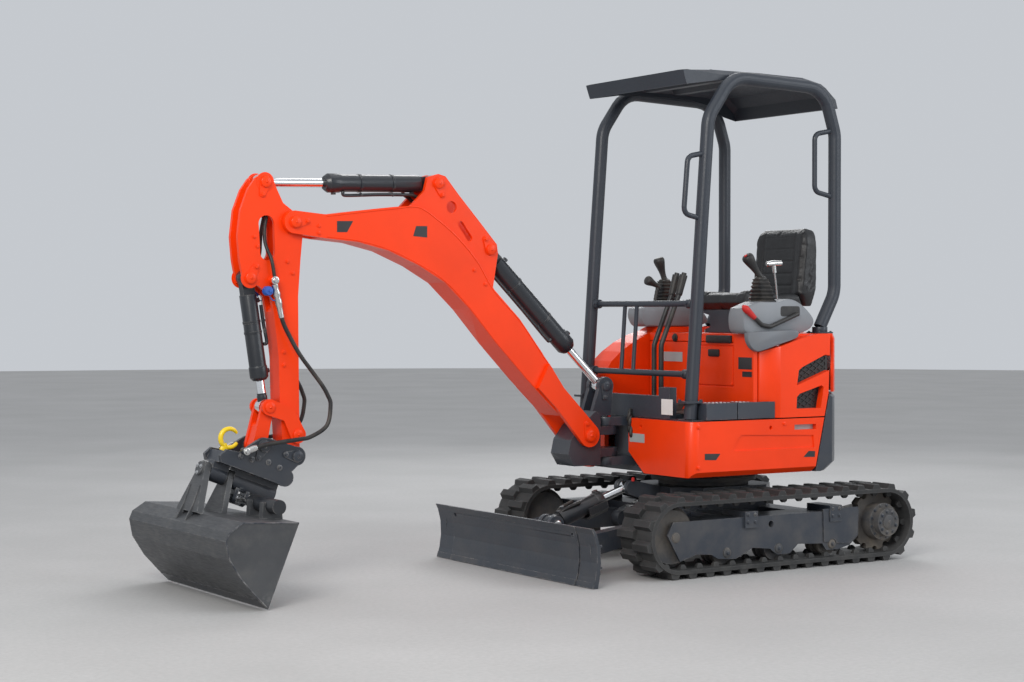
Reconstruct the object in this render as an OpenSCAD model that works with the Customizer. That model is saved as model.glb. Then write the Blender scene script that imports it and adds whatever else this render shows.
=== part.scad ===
/* [Undercarriage] */
// Distance between the sprocket axis and the idler axis
tumbler_dist = 1230; // [1180:10:1320]
// Width over both tracks
undercarriage_w = 1240; // [1220:10:1320]
// Width of one rubber track
shoe_w = 230; // [210:5:250]
// Height of a track over the tips of its lugs
track_h = 360; // [350:2:370]
// Thickness of the rubber belt
belt_t = 18; // [14:1:22]
// Height of the lugs
lug_h = 22; // [16:1:26]
// Lugs in one row of a track
lug_count = 36; // [30:1:40]

/* [Blade] */
// Width of the dozer blade
blade_w = 1290; // [1240:10:1400]
// Height of the dozer blade
blade_h = 254; // [230:2:270]
// Cutting edge of the blade ahead of the slew axis
blade_x = 1104; // [1080:2:1180]
// Pivot of the blade arms ahead of the slew axis
blade_pivot_x = 330; // [310:5:350]
// Distance of the blade arms from the middle
blade_arm_y = 280; // [260:5:300]

/* [House] */
// Width of the house
house_w = 990; // [960:10:1040]
// Reach of the round tail beyond half the house's width
tail_over = 125; // [110:5:165]
// Lower edge of the skirt above the ground
skirt_z = 425; // [420:1:435]
// Height of the skirt panels
skirt_h = 250; // [240:2:260]
// Height of the step blocks on the floor
step_h = 75; // [60:1:85]
// Height of the covers above the steps
cover_h = 310; // [290:2:330]
// Front of the house ahead of the slew axis
house_front = 462; // [450:2:466]

/* [Canopy] */
// Top of the roof above the ground
roof_z = 2275; // [2200:5:2400]
// Distance of the canopy hoops from the middle
hoop_y = 410; // [395:1:415]
// Diameter of the canopy tube
tube_d = 60; // [48:2:64]
// Foot of the front posts ahead of the slew axis
post_x = 400; // [390:1:405]

/* [Seat] */
// Width of the seat
seat_w = 410; // [380:5:430]
// Depth of the seat cushion
seat_deep = 400; // [370:5:410]
// Underside of the cushion above the covers
seat_rise = 112; // [95:1:125]

/* [Boom] */
// Boom plane beside the middle of the machine
boom_y = -70; // [-80:5:-50]
// Swing axis ahead of the slew axis
swing_x = 532; // [528:1:550]
// Foot pin ahead of the swing axis
foot_dx = 148; // [140:1:160]
// Foot pin above the ground
foot_z = 600; // [590:1:610]
// Reach from the foot pin to the arm pivot
boom_span = 1490; // [1450:5:1560]
// Width of the boom's box
boom_w = 150; // [140:2:160]

/* [Arm] */
// Length of the arm from its pivot to its tip pin
arm_len = 978; // [940:2:980]
// Width of the arm
arm_w = 90; // [86:1:94]

/* [Hitch] */
// Length that sets the hitch between the arm and the bucket
hitch_len = 158; // [156:0.5:160]

/* [Bucket] */
// Width of the bucket
bucket_w = 990; // [800:10:1100]
// Height of the bucket
bucket_h = 350; // [330:2:360]
// Thickness of the bucket's sides
bucket_side = 12; // [10:1:16]

/* [Cylinders] */
// Outside radius of the boom cylinder
boom_cyl_r = 42; // [38:1:45]
// Outside radius of the arm cylinder
arm_cyl_r = 38; // [34:1:40]
// Outside radius of the bucket cylinder
bucket_cyl_r = 36; // [32:1:38]
// Radius of the chromed rods
rod_r = 19; // [16:1:20]

/* [Clearances] */
// Radial clearance of a pin in its bore
pin_gap = 0.3; // [0.2:0.1:0.6]
// Gap between parts that stand against each other
seat_gap = 0.4; // [0.3:0.1:1]
// Gap between panels
panel_gap = 6; // [5:0.5:8]
// Side gap beside eyes and links
side_gap = 3; // [2:0.5:4]
// Overrun of a cut
cut = 1; // [0.5:0.5:2]

/* [Hidden] */
$fn = 64;
// Sizes of the undercarriage
lug_tip_r = track_h / 2;
belt_out_r = lug_tip_r - lug_h;
belt_in_r = belt_out_r - belt_t;
axle_z = lug_tip_r;
track_out = undercarriage_w / 2;
track_in = track_out - shoe_w;
track_mid = (track_out + track_in) / 2;
loop_len = 2 * tumbler_dist + 2 * PI * belt_out_r;
frame_in = track_in + 45;
frame_out = track_out - 35;
plate_t = 12;
roller_r = 55;
roller_w = 90;
roller_xs = tumbler_dist * [0.268, 0.024, -0.236];
roller_z = lug_h + belt_t + roller_r + seat_gap;
ring_r = 250;
ring_top = skirt_z - seat_gap;
body_z = 350;
body_bottom = 190;
body_half = 210;
tube_half = 62;
tube_x = 205;
// Sizes of the blade
blade_pivot = [blade_pivot_x, axle_z];
blade_pin_r = 20;
blade_boss_r = 44;
blade_arm_w = 60;
blade_cyl_lug = [blade_pivot_x + 125, body_z];
blade_cyl_pin = [blade_pivot_x + 550, axle_z + 25];
blade_cyl_r = 40;
// Sizes of the house
half_w = house_w / 2;
tail_r = half_w + tail_over;
corner_r = 45;
sheet_t = 24;
skirt_top = skirt_z + skirt_h;
deck_z = skirt_top + panel_gap;
step_z = deck_z + step_h;
cover_z = step_z + cover_h;
floor_t = 20;
floor_z = deck_z + floor_t;
weight_z = skirt_z;
weight_top = step_z + 30;
weight_t = 150;
base_x = 70;
base_y = [-333, half_w - 40];
quarter_x = -60;
rear_x = -0.884 * sqrt(pow(tail_r, 2) - pow(half_w, 2));
lean = 60;
hood_t = 14;
hood_tube_r = 13;
engine_size = [300, 420, 330];
front_t = 40;
lug_t = 40;
knuckle_r = 60;
lug_low = skirt_z + 30;
lug_high = skirt_top - lug_t + 4;
base_t = 22;
// Sizes of the canopy
tube_r = tube_d / 2;
bend_r = 150;
rail_r = 14;
canopy_l = 862;
rear_post_x = post_x - canopy_l;
// Pins, as places ahead of the slew axis and above the ground
foot = [swing_x + foot_dx, foot_z];
lift_lug = [swing_x + 26, foot_z + 223];
lift_pin = foot + boom_span * [0.347, 0.567];
crowd_pin = foot + boom_span * [0.5275, 0.7585];
elbow = foot + boom_span * [1, 0.633];
crowd_lug = elbow + arm_len * [0.1258, 0.1687];
curl_pin = elbow + arm_len * [0.1973, -0.2403];
idler_pin = elbow + arm_len * [-0.0184, -0.9110];
tip_pin = elbow + arm_len * [-0.0010, -1];
link_pin = elbow + arm_len * [0.1145, -0.7894];
hitch_pin = tip_pin + hitch_len * [0.955, 0.2975];
tilt_deg = 21;
tilt_pin = tip_pin + hitch_len * [2.4224, -0.2846];
bucket_tip = tip_pin + bucket_h * [0.9428, -1.6034];
pin_r = 24;
big_pin_r = 28;
head_t = 10;
// Layers across the boom, from its middle plane
eye_half = 22;
link_in = eye_half + side_gap + 1;
link_out = arm_w / 2 - 1;
cheek_in = 27;
arm_half = arm_w / 2;
idler_in = arm_half + side_gap;
idler_out = idler_in + 16;
ear_in = idler_out + 4;
ear_out = ear_in + 18;
box_half = boom_w / 2;
fork_in = arm_half + side_gap;
lug_in = eye_half + 6;
lug_out = lug_in + 22;
boom_ear_in = 38;
boom_ear_out = 58;
foot_in = box_half - 2;
foot_out = box_half + 20;
foot_boss = foot_in - 1;

function dir(a, b) = atan2(b[1] - a[1], b[0] - a[0]);
function unit(v) = v / norm(v);

// A flat outline drawn in X and Z, thick from y0 to y1
module slab(y0, y1) {
  translate([0, y1, 0]) rotate([90, 0, 0]) linear_extrude(y1 - y0) children();
}
// The same on both sides of the boom's plane
module both(y0, y1) {
  slab(boom_y + y0, boom_y + y1) children();
  slab(boom_y - y1, boom_y - y0) children();
}
module mid(half) {
  slab(boom_y - half, boom_y + half) children();
}
// A round bar along Y at a place in X and Z
module bar(p, r, y0, y1) {
  translate([p[0], y1, p[1]]) rotate([90, 0, 0]) cylinder(r = r, h = y1 - y0);
}
module bar_mid(p, r, half) {
  bar(p, r, boom_y - half, boom_y + half);
}
module bar_both(p, r, y0, y1) {
  bar(p, r, boom_y + y0, boom_y + y1);
  bar(p, r, boom_y - y1, boom_y - y0);
}
// A bar with round ends, flat in X and Z
strap_share = 0.985;
module strap(a, b, ra, rb) {
  d = norm(b - a);
  k = asin((ra - rb) / d);
  translate(a) rotate(dir(a, b)) {
    circle(ra);
    translate([d, 0]) circle(rb);
    w = strap_share * cos(k);
    polygon([[ra * sin(k), ra * w], [d + rb * sin(k), rb * w],
             [d + rb * sin(k), -rb * w], [ra * sin(k), -ra * w]]);
  }
}
// Puts a cylinder drawn along +X on its pin, turned toward another pin
module aim(a, b, y) {
  translate([a[0], y, a[1]]) rotate([0, -dir(a, b), 0]) children();
}
// The barrel of a hydraulic cylinder, from its eye to its gland
module barrel(r, gland, eye_r, half, hole, start) {
  difference() {
    union() {
      rotate([90, 0, 0]) translate([0, 0, -half]) cylinder(r = eye_r, h = 2 * half);
      translate([0, -half * 0.8, -eye_r * 0.8]) cube([start + cut, half * 1.6, eye_r * 1.6]);
      translate([start, 0, 0]) rotate([0, 90, 0]) rotate_extrude()
        polygon([[0, 0], [r, 0], [r, gland * 0.86 - start], [r * 1.08, gland * 0.87 - start],
                 [r * 1.08, gland * 0.97 - start], [r * 0.8, gland - start], [0, gland - start]]);
    }
    rotate([90, 0, 0]) translate([0, 0, -half - cut]) cylinder(r = hole + pin_gap, h = 2 * half + 2 * cut);
    translate([start * 1.25, 0, 0]) rotate([0, 90, 0]) cylinder(r = rod_r + pin_gap, h = gland);
  }
  translate([start + r * 0.8, 0, -r * 0.95]) port(r);
  translate([gland * 0.92, 0, -r * 0.95]) port(r);
}
module port(r) {
  translate([0, 0, -r * 0.35]) cylinder(r = r * 0.28, h = r * 0.6);
}
// A rod from inside its barrel to the pin in its eye
module rod(from, pin_at, eye_r, half, own_pin) {
  translate([from, 0, 0]) rotate([0, 90, 0]) cylinder(r = rod_r, h = pin_at - from - eye_r * 0.6);
  translate([pin_at, 0, 0]) rotate([90, 0, 0]) translate([0, 0, -half]) cylinder(r = eye_r, h = 2 * half);
  translate([pin_at, 0, 0]) rotate([90, 0, 0]) translate([0, 0, -half - side_gap / 2])
    cylinder(r = own_pin, h = 2 * half + side_gap);
}
// Rings of a bent tube: place in X and Z, then heading
function heading(a, b) = atan2(b[1] - a[1], b[0] - a[0]);
function wrap(d) = d > 180 ? d - 360 : d < -180 ? d + 360 : d;
function rings(pts, bend, k) = concat([[pts[0], heading(pts[0], pts[1])]],
  [for (i = [1 : len(pts) - 2]) let (h0 = heading(pts[i - 1], pts[i]), t = wrap(heading(pts[i], pts[i + 1]) - h0), s = sign(t),
     c = pts[i] - bend * tan(abs(t) / 2) * [cos(h0), sin(h0)] + s * bend * [-sin(h0), cos(h0)])
   for (j = [0 : k]) let (h = h0 + t * j / k) [c + s * bend * [sin(h), -cos(h)], h]],
  [[pts[len(pts) - 1], heading(pts[len(pts) - 2], pts[len(pts) - 1])]]);
// A bent round tube through places in X and Z
module tube_run(pts, r, bend, sides = 20, k = 5) {
  ring = rings(pts, bend, k);
  n = len(ring);
  polyhedron(
    points = [for (g = ring) for (j = [0 : sides - 1]) let (a = 360 * j / sides)
      [g[0][0] - r * cos(a) * sin(g[1]), r * sin(a), g[0][1] + r * cos(a) * cos(g[1])]],
    faces = concat([[for (j = [0 : sides - 1]) sides - 1 - j]],
      [for (i = [0 : n - 2]) for (j = [0 : sides - 1]) [i * sides + j, (i + 1) * sides + (j + 1) % sides, (i + 1) * sides + j]],
      [for (i = [0 : n - 2]) for (j = [0 : sides - 1]) [i * sides + j, i * sides + (j + 1) % sides, (i + 1) * sides + (j + 1) % sides]],
      [[for (j = [0 : sides - 1]) (n - 1) * sides + j]]));
}

// The running loop of a track at a radius from its axles
module loop(r) {
  translate([-tumbler_dist / 2, -r]) square([tumbler_dist, 2 * r]);
  for (s = [-1, 1]) translate([s * tumbler_dist / 2, 0]) circle(r);
}
// A lug of the track, its root sunk in the belt
module lug(w) {
  root = lug_h * 1.25;
  slab(0, w) polygon([[-root, -lug_h * 0.3], [root, -lug_h * 0.3], [root * 0.55, lug_h], [-root * 0.55, lug_h]]);
}
// Places a lug at a share of the way round the loop
module round_loop(share) {
  s = share * loop_len;
  arc = PI * belt_out_r;
  if (s < tumbler_dist)
    translate([-tumbler_dist / 2 + s, 0, belt_out_r]) children();
  else if (s < tumbler_dist + arc)
    translate([tumbler_dist / 2, 0, 0]) rotate([0, (s - tumbler_dist) / arc * 180, 0]) translate([0, 0, belt_out_r]) children();
  else if (s < 2 * tumbler_dist + arc)
    translate([tumbler_dist / 2 - (s - tumbler_dist - arc), 0, -belt_out_r]) rotate([0, 180, 0]) children();
  else
    translate([-tumbler_dist / 2, 0, 0]) rotate([0, 180 + (s - 2 * tumbler_dist - arc) / arc * 180, 0]) translate([0, 0, belt_out_r]) children();
}
module track(side) {
  edge = belt_t * 0.25;
  translate([0, side > 0 ? 0 : -2 * track_mid, axle_z]) {
    slab(track_in, track_out) difference() { loop(belt_out_r); loop(belt_in_r); }
    for (i = [0 : lug_count - 1]) {
      round_loop((i + 0.25) / lug_count) translate([0, track_in + edge, 0]) lug(shoe_w * 0.5);
      round_loop((i + 0.75) / lug_count) translate([0, track_mid - edge, 0]) lug(shoe_w * 0.5);
    }
  }
}
module track_left() { color("dimgray") track(1); }
module track_right() { color("dimgray") track(-1); }

// The roller frame of a track: its plate, two clamps with ears over the top and the motor's guard
frame_shares = [[0.512, 0.69], [0.537, 0.53], [0.48, 0.205], [0.407, 0.275], [0.341, 0.26], [0.308, 0.2], [0.228, 0.18],
  [0.146, 0.3], [0.065, 0.27], [0.03, 0.19], [-0.03, 0.19], [-0.07, 0.3], [-0.19, 0.28], [-0.21, 0.19], [-0.27, 0.19],
  [-0.327, 0.233], [-0.369, 0.345], [-0.373, 0.69]];
box_shares = [[-0.345, 0.45], [-0.335, 0.69], [0.345, 0.69], [0.345, 0.45]];
clamp_shares = [0.16, -0.25];
clamp_w = 72;
clamp_h = 74;
guard_shares = [[-0.195, 0.3], [-0.19, 0.72], [-0.365, 0.72], [-0.36, 0.36], [-0.32, 0.25]];
function on_loop(s) = [s[0] * tumbler_dist, s[1] * track_h];
module track_frame(side) {
  mirror([0, side > 0 ? 0 : 1, 0]) difference() {
    union() {
      slab(frame_out - plate_t, frame_out) polygon([for (s = frame_shares) on_loop(s)]);
      slab(frame_in, frame_out - plate_t + cut) polygon([for (s = box_shares) on_loop(s)]);
      slab(frame_out - cut, frame_out + plate_t * 0.5) polygon([for (s = guard_shares) on_loop(s)]);
      for (s = clamp_shares) {
        slab(frame_out - cut, frame_out + plate_t) translate([s * tumbler_dist - clamp_w / 2, 0.76 * track_h - clamp_h]) square([clamp_w, clamp_h]);
        slab(frame_in, frame_out + plate_t) translate([s * tumbler_dist - clamp_w / 2, 0.69 * track_h - cut]) square([clamp_w, 0.07 * track_h + cut]);
      }
    }
    bar([tumbler_dist * 0.06, track_h * 0.58], track_h * 0.042, frame_in + shoe_w * 0.4, frame_out + cut);
    for (x = roller_xs) bar([x, roller_z], pin_r, frame_out - plate_t - cut, frame_out + plate_t);
    bar([tumbler_dist / 2, axle_z], pin_r, frame_out - plate_t - cut, frame_out + cut);
  }
}
module track_frames() { color("slategray") { track_frame(1); track_frame(-1); } }
module sides() { for (s = [0, 1]) mirror([0, s, 0]) children(); }
// Drive sprockets with their motors
teeth = 12;
module sprockets() {
  r = belt_in_r - seat_gap;
  p = [-tumbler_dist / 2, axle_z];
  end = box_shares[0][0] * tumbler_dist - seat_gap;
  color("gray") sides() {
    translate([p[0], 0, p[1]]) rotate([90, 0, 0]) translate([0, 0, -track_mid - shoe_w * 0.09])
      linear_extrude(shoe_w * 0.18) difference() {
        circle(r);
        for (i = [0 : teeth - 1]) rotate(i * 360 / teeth) translate([r, 0]) circle(r * 0.13);
      }
    bar(p, r * 0.62, frame_in, frame_out);
    bar(p, r * 0.47, frame_out - cut, track_out - seat_gap);
    slab(frame_in, frame_in + shoe_w * 0.3) polygon([p + r * [0, -0.6], p + r * [0, 0.6], [end, axle_z + r * 0.4], [end, axle_z]]);
  }
}
idler_shares = [[0, 0], [0.85, 0], [0.9, 0.06], [1, 0.08], [1, 0.3], [0.9, 0.32], [0.85, 0.44], [0, 0.44]];
module idlers() {
  r = belt_in_r - seat_gap;
  color("gray") sides() translate([tumbler_dist / 2, 0, axle_z]) rotate([-90, 0, 0]) {
    translate([0, 0, track_mid - shoe_w * 0.22]) rotate_extrude() polygon([for (s = idler_shares) [s[0] * r, s[1] * shoe_w]]);
    translate([0, 0, track_mid]) cylinder(r = pin_r - pin_gap, h = frame_out - track_mid);
  }
}
roller_shares = [[0, 0], [1, 0], [1, 0.3], [0.75, 0.36], [0.75, 0.64], [1, 0.7], [1, 1], [0, 1]];
module rollers() {
  color("gray") sides() for (x = roller_xs) translate([x, 0, roller_z]) rotate([-90, 0, 0]) {
    translate([0, 0, track_mid - roller_w / 2]) rotate_extrude() polygon([for (s = roller_shares) [s[0] * roller_r, s[1] * roller_w]]);
    translate([0, 0, track_mid]) cylinder(r = pin_r - pin_gap, h = frame_out - track_mid);
  }
}

// The car body between the tracks, with the eyes for the blade
body_shares = [[-1.3, -0.8], [-0.9, -1.15], [0.9, -1.15], [1.4, -0.6], [1.4, 0.6], [0.9, 1.15], [-0.9, 1.15], [-1.3, 0.8]];
blade_lug_t = 26;
blade_in = eye_half + side_gap;
module car_body() {
  inner = blade_arm_y - 0.55 * blade_arm_w;
  color("slategray") {
    translate([0, 0, body_bottom]) linear_extrude(body_z - body_bottom) polygon([for (s = body_shares) s * body_half]);
    for (x = [-tube_x, tube_x])
      translate([x - tube_half, -frame_in + seat_gap, axle_z + track_h * 0.02]) cube([2 * tube_half, 2 * frame_in - 2 * seat_gap, track_h * 0.17]);
    sides() {
      slab(inner - blade_arm_w, inner) strap([body_half * 0.9, axle_z + track_h * 0.12], blade_pivot, blade_boss_r, blade_boss_r * 0.9);
      slab(blade_in, blade_in + blade_lug_t) strap([body_half * 1.2, body_z - track_h * 0.15], blade_cyl_lug, blade_boss_r, blade_boss_r * 0.8);
      bar(blade_pivot, blade_pin_r, blade_arm_y - blade_arm_w, blade_arm_y + blade_arm_w);
    }
  }
}
ring_shares = [[0.6, 0], [0.86, 0], [0.86, 0.27], [1, 0.27], [1, 0.54], [0.96, 0.6], [0.96, 1], [0.6, 1]];
module slew_ring() {
  h = ring_top - body_z - seat_gap;
  color("gray") translate([0, 0, body_z + seat_gap]) rotate_extrude() polygon([for (s = ring_shares) [s[0] * ring_r, s[1] * h]]);
}

// The curved blade: a middle plate, set back end wings and gussets behind
blade_shares = [[0, 0], [-0.05, 0.18], [-0.085, 0.42], [-0.075, 0.68], [-0.02, 0.9], [0.03, 1], [-0.015, 1], [-0.08, 0.9],
  [-0.15, 0.68], [-0.165, 0.42], [-0.14, 0.18], [-0.1, 0]];
gusset_shares = [[-0.13, 0.12], [-0.06, 0.92], [-0.24, 0.7], [-0.3, 0.2]];
gusset_ys = [0.46, 0.33];
wing_back = 4;
wing_seam = 5;
function on_blade(s) = [blade_x + s[0] * blade_h, s[1] * blade_h];
module blade_plate() {
  wing = blade_w * 0.1;
  color("slategray") difference() {
    union() {
      slab(-blade_w / 2 + wing, blade_w / 2 - wing) polygon([for (s = blade_shares) on_blade(s)]);
      slab(-blade_w / 2, blade_w / 2) translate([-wing_back, 0]) polygon([for (s = blade_shares) on_blade(s)]);
      sides() for (y = gusset_ys * blade_w) slab(y - plate_t / 2, y + plate_t / 2) polygon([for (s = gusset_shares) on_blade(s)]);
    }
    sides() {
      slab(blade_w / 2 - wing, blade_w / 2 - wing + wing_seam) translate([-wing_back * 2, 0]) difference() {
        translate([wing_back * 4, 0]) polygon([for (s = blade_shares) on_blade(s)]);
        polygon([for (s = blade_shares) on_blade(s)]);
      }
      translate([blade_x - blade_h, blade_w / 2 - wing * 1.25, blade_h * 0.84]) rotate([0, 90, 0]) cylinder(r = plate_t * 0.8, h = blade_h * 2);
    }
  }
}
// The arms of the blade, joined by a cross beam with the cylinder's ears
ear_t = 24;
module blade_arms() {
  back = blade_x - blade_h * 0.165 - wing_back - seat_gap;
  beam = [blade_cyl_pin[0] - blade_h * 0.2, blade_cyl_pin[0] + blade_h * 0.4];
  b = blade_boss_r;
  color("slategray") difference() {
    union() {
      sides() slab(blade_arm_y - blade_arm_w / 2, blade_arm_y + blade_arm_w / 2) {
        translate(blade_pivot) circle(b);
        polygon([blade_pivot + [0, b], blade_pivot + [blade_h, b * 0.9], [back, blade_h * 0.62], [back, blade_h * 0.2], blade_pivot + [blade_h, -b], blade_pivot - [0, b]]);
      }
      translate([beam[0], -blade_arm_y, blade_h * 0.34]) cube([beam[1] - beam[0], 2 * blade_arm_y, blade_h * 0.22]);
      sides() slab(blade_in, blade_in + ear_t) {
        translate(blade_cyl_pin) circle(b * 0.9);
        polygon([[beam[0], blade_h * 0.4], blade_cyl_pin - [b * 0.9, 0], blade_cyl_pin + [b * 0.9, 0], [back, blade_h * 0.6], [back, blade_h * 0.4]]);
      }
      bar(blade_cyl_pin, blade_pin_r, -blade_in - ear_t - head_t, blade_in + ear_t + head_t);
    }
    sides() bar(blade_pivot, blade_pin_r + pin_gap, blade_arm_y - blade_arm_w, blade_arm_y + blade_arm_w);
  }
}
// The blade's cylinder, with a bent guard over its gland
blade_len = norm(blade_cyl_lug - blade_cyl_pin);
blade_gland = blade_len * 0.668;
guard_t = 6;
module blade_cyl_barrel() {
  r = blade_cyl_r;
  color("slategray") aim(blade_cyl_pin, blade_cyl_lug, 0) {
    barrel(r, blade_gland, blade_boss_r * 0.8, eye_half, blade_pin_r, blade_boss_r * 1.1);
    translate([blade_gland * 0.6, 0, 0]) rotate([90, 0, 90]) linear_extrude(blade_gland * 0.36) difference() {
      polygon(r * [[-1.5, -0.1], [-1.5, 0.8], [-0.9, 1.3], [0.9, 1.3], [1.5, 0.8], [1.5, -0.1]]);
      polygon(concat((r - guard_t * 0.55) * [[-1.5, -0.3], [-1.5, 0.75], [-0.9, 1.22]], (r - guard_t * 0.55) * [[0.9, 1.22], [1.5, 0.75], [1.5, -0.3]]));
    }
    for (s = [-1, 1]) translate([blade_gland * 0.75, s * r * 0.9 - (s > 0 ? 0 : r * 0.5), 0]) cube([guard_t * 2, r * 0.5, guard_t * 2]);
  }
}
module blade_cyl_rod() {
  color("silver") aim(blade_cyl_pin, blade_cyl_lug, 0) rod(blade_gland * 0.5, blade_len, blade_boss_r * 0.7, eye_half, blade_pin_r);
}

// The house in plan, set in by a distance
module house_plan(d) {
  w = half_w - d;
  f = house_front - d;
  c = corner_r - min(d, corner_r * 0.8);
  translate([0, -w]) square([f - c, 2 * w]);
  translate([0, -w + c]) square([f, 2 * w - 2 * c]);
  for (s = [-1, 1]) translate([f - c, s * (w - c)]) circle(c);
  intersection() {
    circle(tail_r - d, $fn = 128);
    translate([-tail_r, -w]) square([tail_r + cut, 2 * w]);
  }
}
module house_wall(z0, z1, t) {
  translate([0, 0, z0]) linear_extrude(z1 - z0) difference() { house_plan(0); house_plan(t); }
}
// A profile in Y and Z, long in X
module along_x(x0, x1) {
  translate([x0, 0, 0]) rotate([90, 0, 90]) linear_extrude(x1 - x0) children();
}
// Keeps what lies ahead of the slanting joint to the counterweight, or behind it
module joint_cut(d, ahead) {
  end = ahead ? tail_r : -2 * tail_r;
  top = cover_z + tail_r;
  slab(-tail_r, tail_r) polygon([[rear_x + lean + d, weight_z - cut], [end, weight_z - cut], [end, top], [rear_x - lean + d, top], [rear_x - lean * 0.4 + d, weight_top + d]]);
}
// The skirts, cut back beside the swing lugs, with a pressed band and a vent
band_shares = [[0.31, 0.68], [0.28, 0.74], [-0.42, 0.68], [-0.43, 0.45], [0.34, 0.45], [0.36, 0.5]];
band_deep = 6;
vent = [132, 24];
vent_at = [-0.34, 0.79];
hole_r = 9;
module skirt(side) {
  y0 = side * boom_y + 1.5 * knuckle_r + panel_gap;
  hole_z = skirt_z + skirt_h * 0.85;
  color("orangered") mirror([0, side > 0 ? 0 : 1, 0]) difference() {
    intersection() {
      house_wall(skirt_z, skirt_top, sheet_t);
      joint_cut(panel_gap / 2, true);
      translate([rear_x - tail_r, y0, skirt_z - cut]) cube([2 * tail_r + house_front, tail_r, skirt_h + 2 * cut]);
      along_x(-2 * tail_r, 2 * tail_r) polygon([[y0 - cut, skirt_top + cut], [y0 - cut, skirt_z + skirt_h * 0.38], [y0 + skirt_h * 0.48, skirt_z - cut],
        [half_w - skirt_h * 0.1, skirt_z - cut], [half_w + cut, skirt_z + skirt_h * 0.1], [half_w + cut, skirt_top + cut]]);
    }
    slab(half_w - band_deep, half_w + cut) polygon([for (s = band_shares) [s[0] * house_w * 0.62, skirt_z + s[1] * skirt_h]]);
    slab(half_w - sheet_t - cut, half_w + cut) translate([vent_at[0] * house_w * 0.62 - vent[0] / 2, skirt_z + vent_at[1] * skirt_h]) square(vent);
    bar([0, hole_z], hole_r, half_w - sheet_t * 0.6, half_w + cut);
    translate([house_front + cut, y0 + half_w * 0.19, hole_z]) rotate([0, -90, 0]) cylinder(r = hole_r, h = sheet_t * 0.6);
  }
}
module skirt_left() { skirt(1); }
module skirt_right() { skirt(-1); }
// The counterweight, rounded to the tail, with its lower edge cut back
weight_edge = 42;
module counterweight() {
  color("slategray") difference() {
    intersection() {
      house_wall(weight_z, weight_top, weight_t);
      joint_cut(-panel_gap / 2, false);
      rotate_extrude($fn = 128) polygon([[0, weight_z - cut], [tail_r - weight_edge, weight_z - cut], [tail_r + cut, weight_z + weight_edge], [tail_r + cut, weight_top - weight_edge * 0.4],
        [tail_r - weight_edge * 0.4, weight_top + cut], [0, weight_top + cut]]);
    }
    for (s = [-1, 1]) slab(s * house_w * 0.2 - vent[0] * 0.2, s * house_w * 0.2 + vent[0] * 0.2) translate([-2 * tail_r, weight_z + weight_edge * 1.4]) square([2 * tail_r - weight_t, vent[1] * 1.5]);
  }
}
// The pin that carries the engine hood
module hood_pin() {
  color("gray") translate([hood_axis[0], hood_axis[1], weight_top + seat_gap]) cylinder(r = hood_pin_r, h = cover_z - weight_top - hood_t);
}
// The revolving frame: two plates, the posts' seats and the swing lugs
deck_bay = 300;
module deck_frame() {
  in = sheet_t + seat_gap;
  k = knuckle_r;
  x0 = house_front - in - k;
  color("slategray") difference() {
    union() {
      translate([0, 0, skirt_z]) linear_extrude(base_t) intersection() {
        house_plan(in + skirt_h * 0.1);
        translate([rear_x + lean + panel_gap, -tail_r]) square([tail_r * 2, 2 * tail_r]);
      }
      translate([0, 0, skirt_z]) linear_extrude(base_t) intersection() {
        house_plan(weight_t + seat_gap);
        translate([-tail_r, -tail_r]) square([tail_r, 2 * tail_r]);
      }
      translate([0, 0, deck_z - base_t]) linear_extrude(base_t) difference() {
        intersection() {
          house_plan(in);
          translate([rear_x + lean * 0.5, -tail_r]) square([tail_r * 2, 2 * tail_r]);
        }
        translate([-2 * tail_r, -deck_bay]) square([2 * tail_r + quarter_x, 2 * deck_bay]);
      }
      for (z = [lug_low, lug_high]) translate([0, boom_y, z]) linear_extrude(lug_t) {
        translate([swing_x, 0]) circle(k);
        polygon([[swing_x, k], [x0, k * 1.5], [x0, -k * 1.5], [swing_x, -k]]);
      }
      translate([x0 - k * 0.5, boom_y - k * 1.5, skirt_z]) cube([k, k * 3, skirt_h]);
      for (s = [-1, 1]) translate([-tube_x * 0.5, s * ring_r * 0.7 - plate_t, skirt_z + base_t - cut]) cube([house_front, plate_t, deck_z - skirt_z - 2 * base_t + 2 * cut]);
    }
    translate([swing_x, boom_y, skirt_z]) cylinder(r = big_pin_r + pin_gap, h = skirt_h * 2);
  }
}
// The curve that scoops the left corner back from the seat's base to the side
scoop_r = 143;
scoop_a = [base_x, base_y[1] + panel_gap];
scoop_b = [quarter_x, half_w];
scoop_at = (scoop_a + scoop_b) / 2 + sqrt(pow(scoop_r, 2) - pow(norm(scoop_b - scoop_a) / 2, 2)) * unit([scoop_a[1] - scoop_b[1], scoop_b[0] - scoop_a[0]]) * -1;
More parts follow.
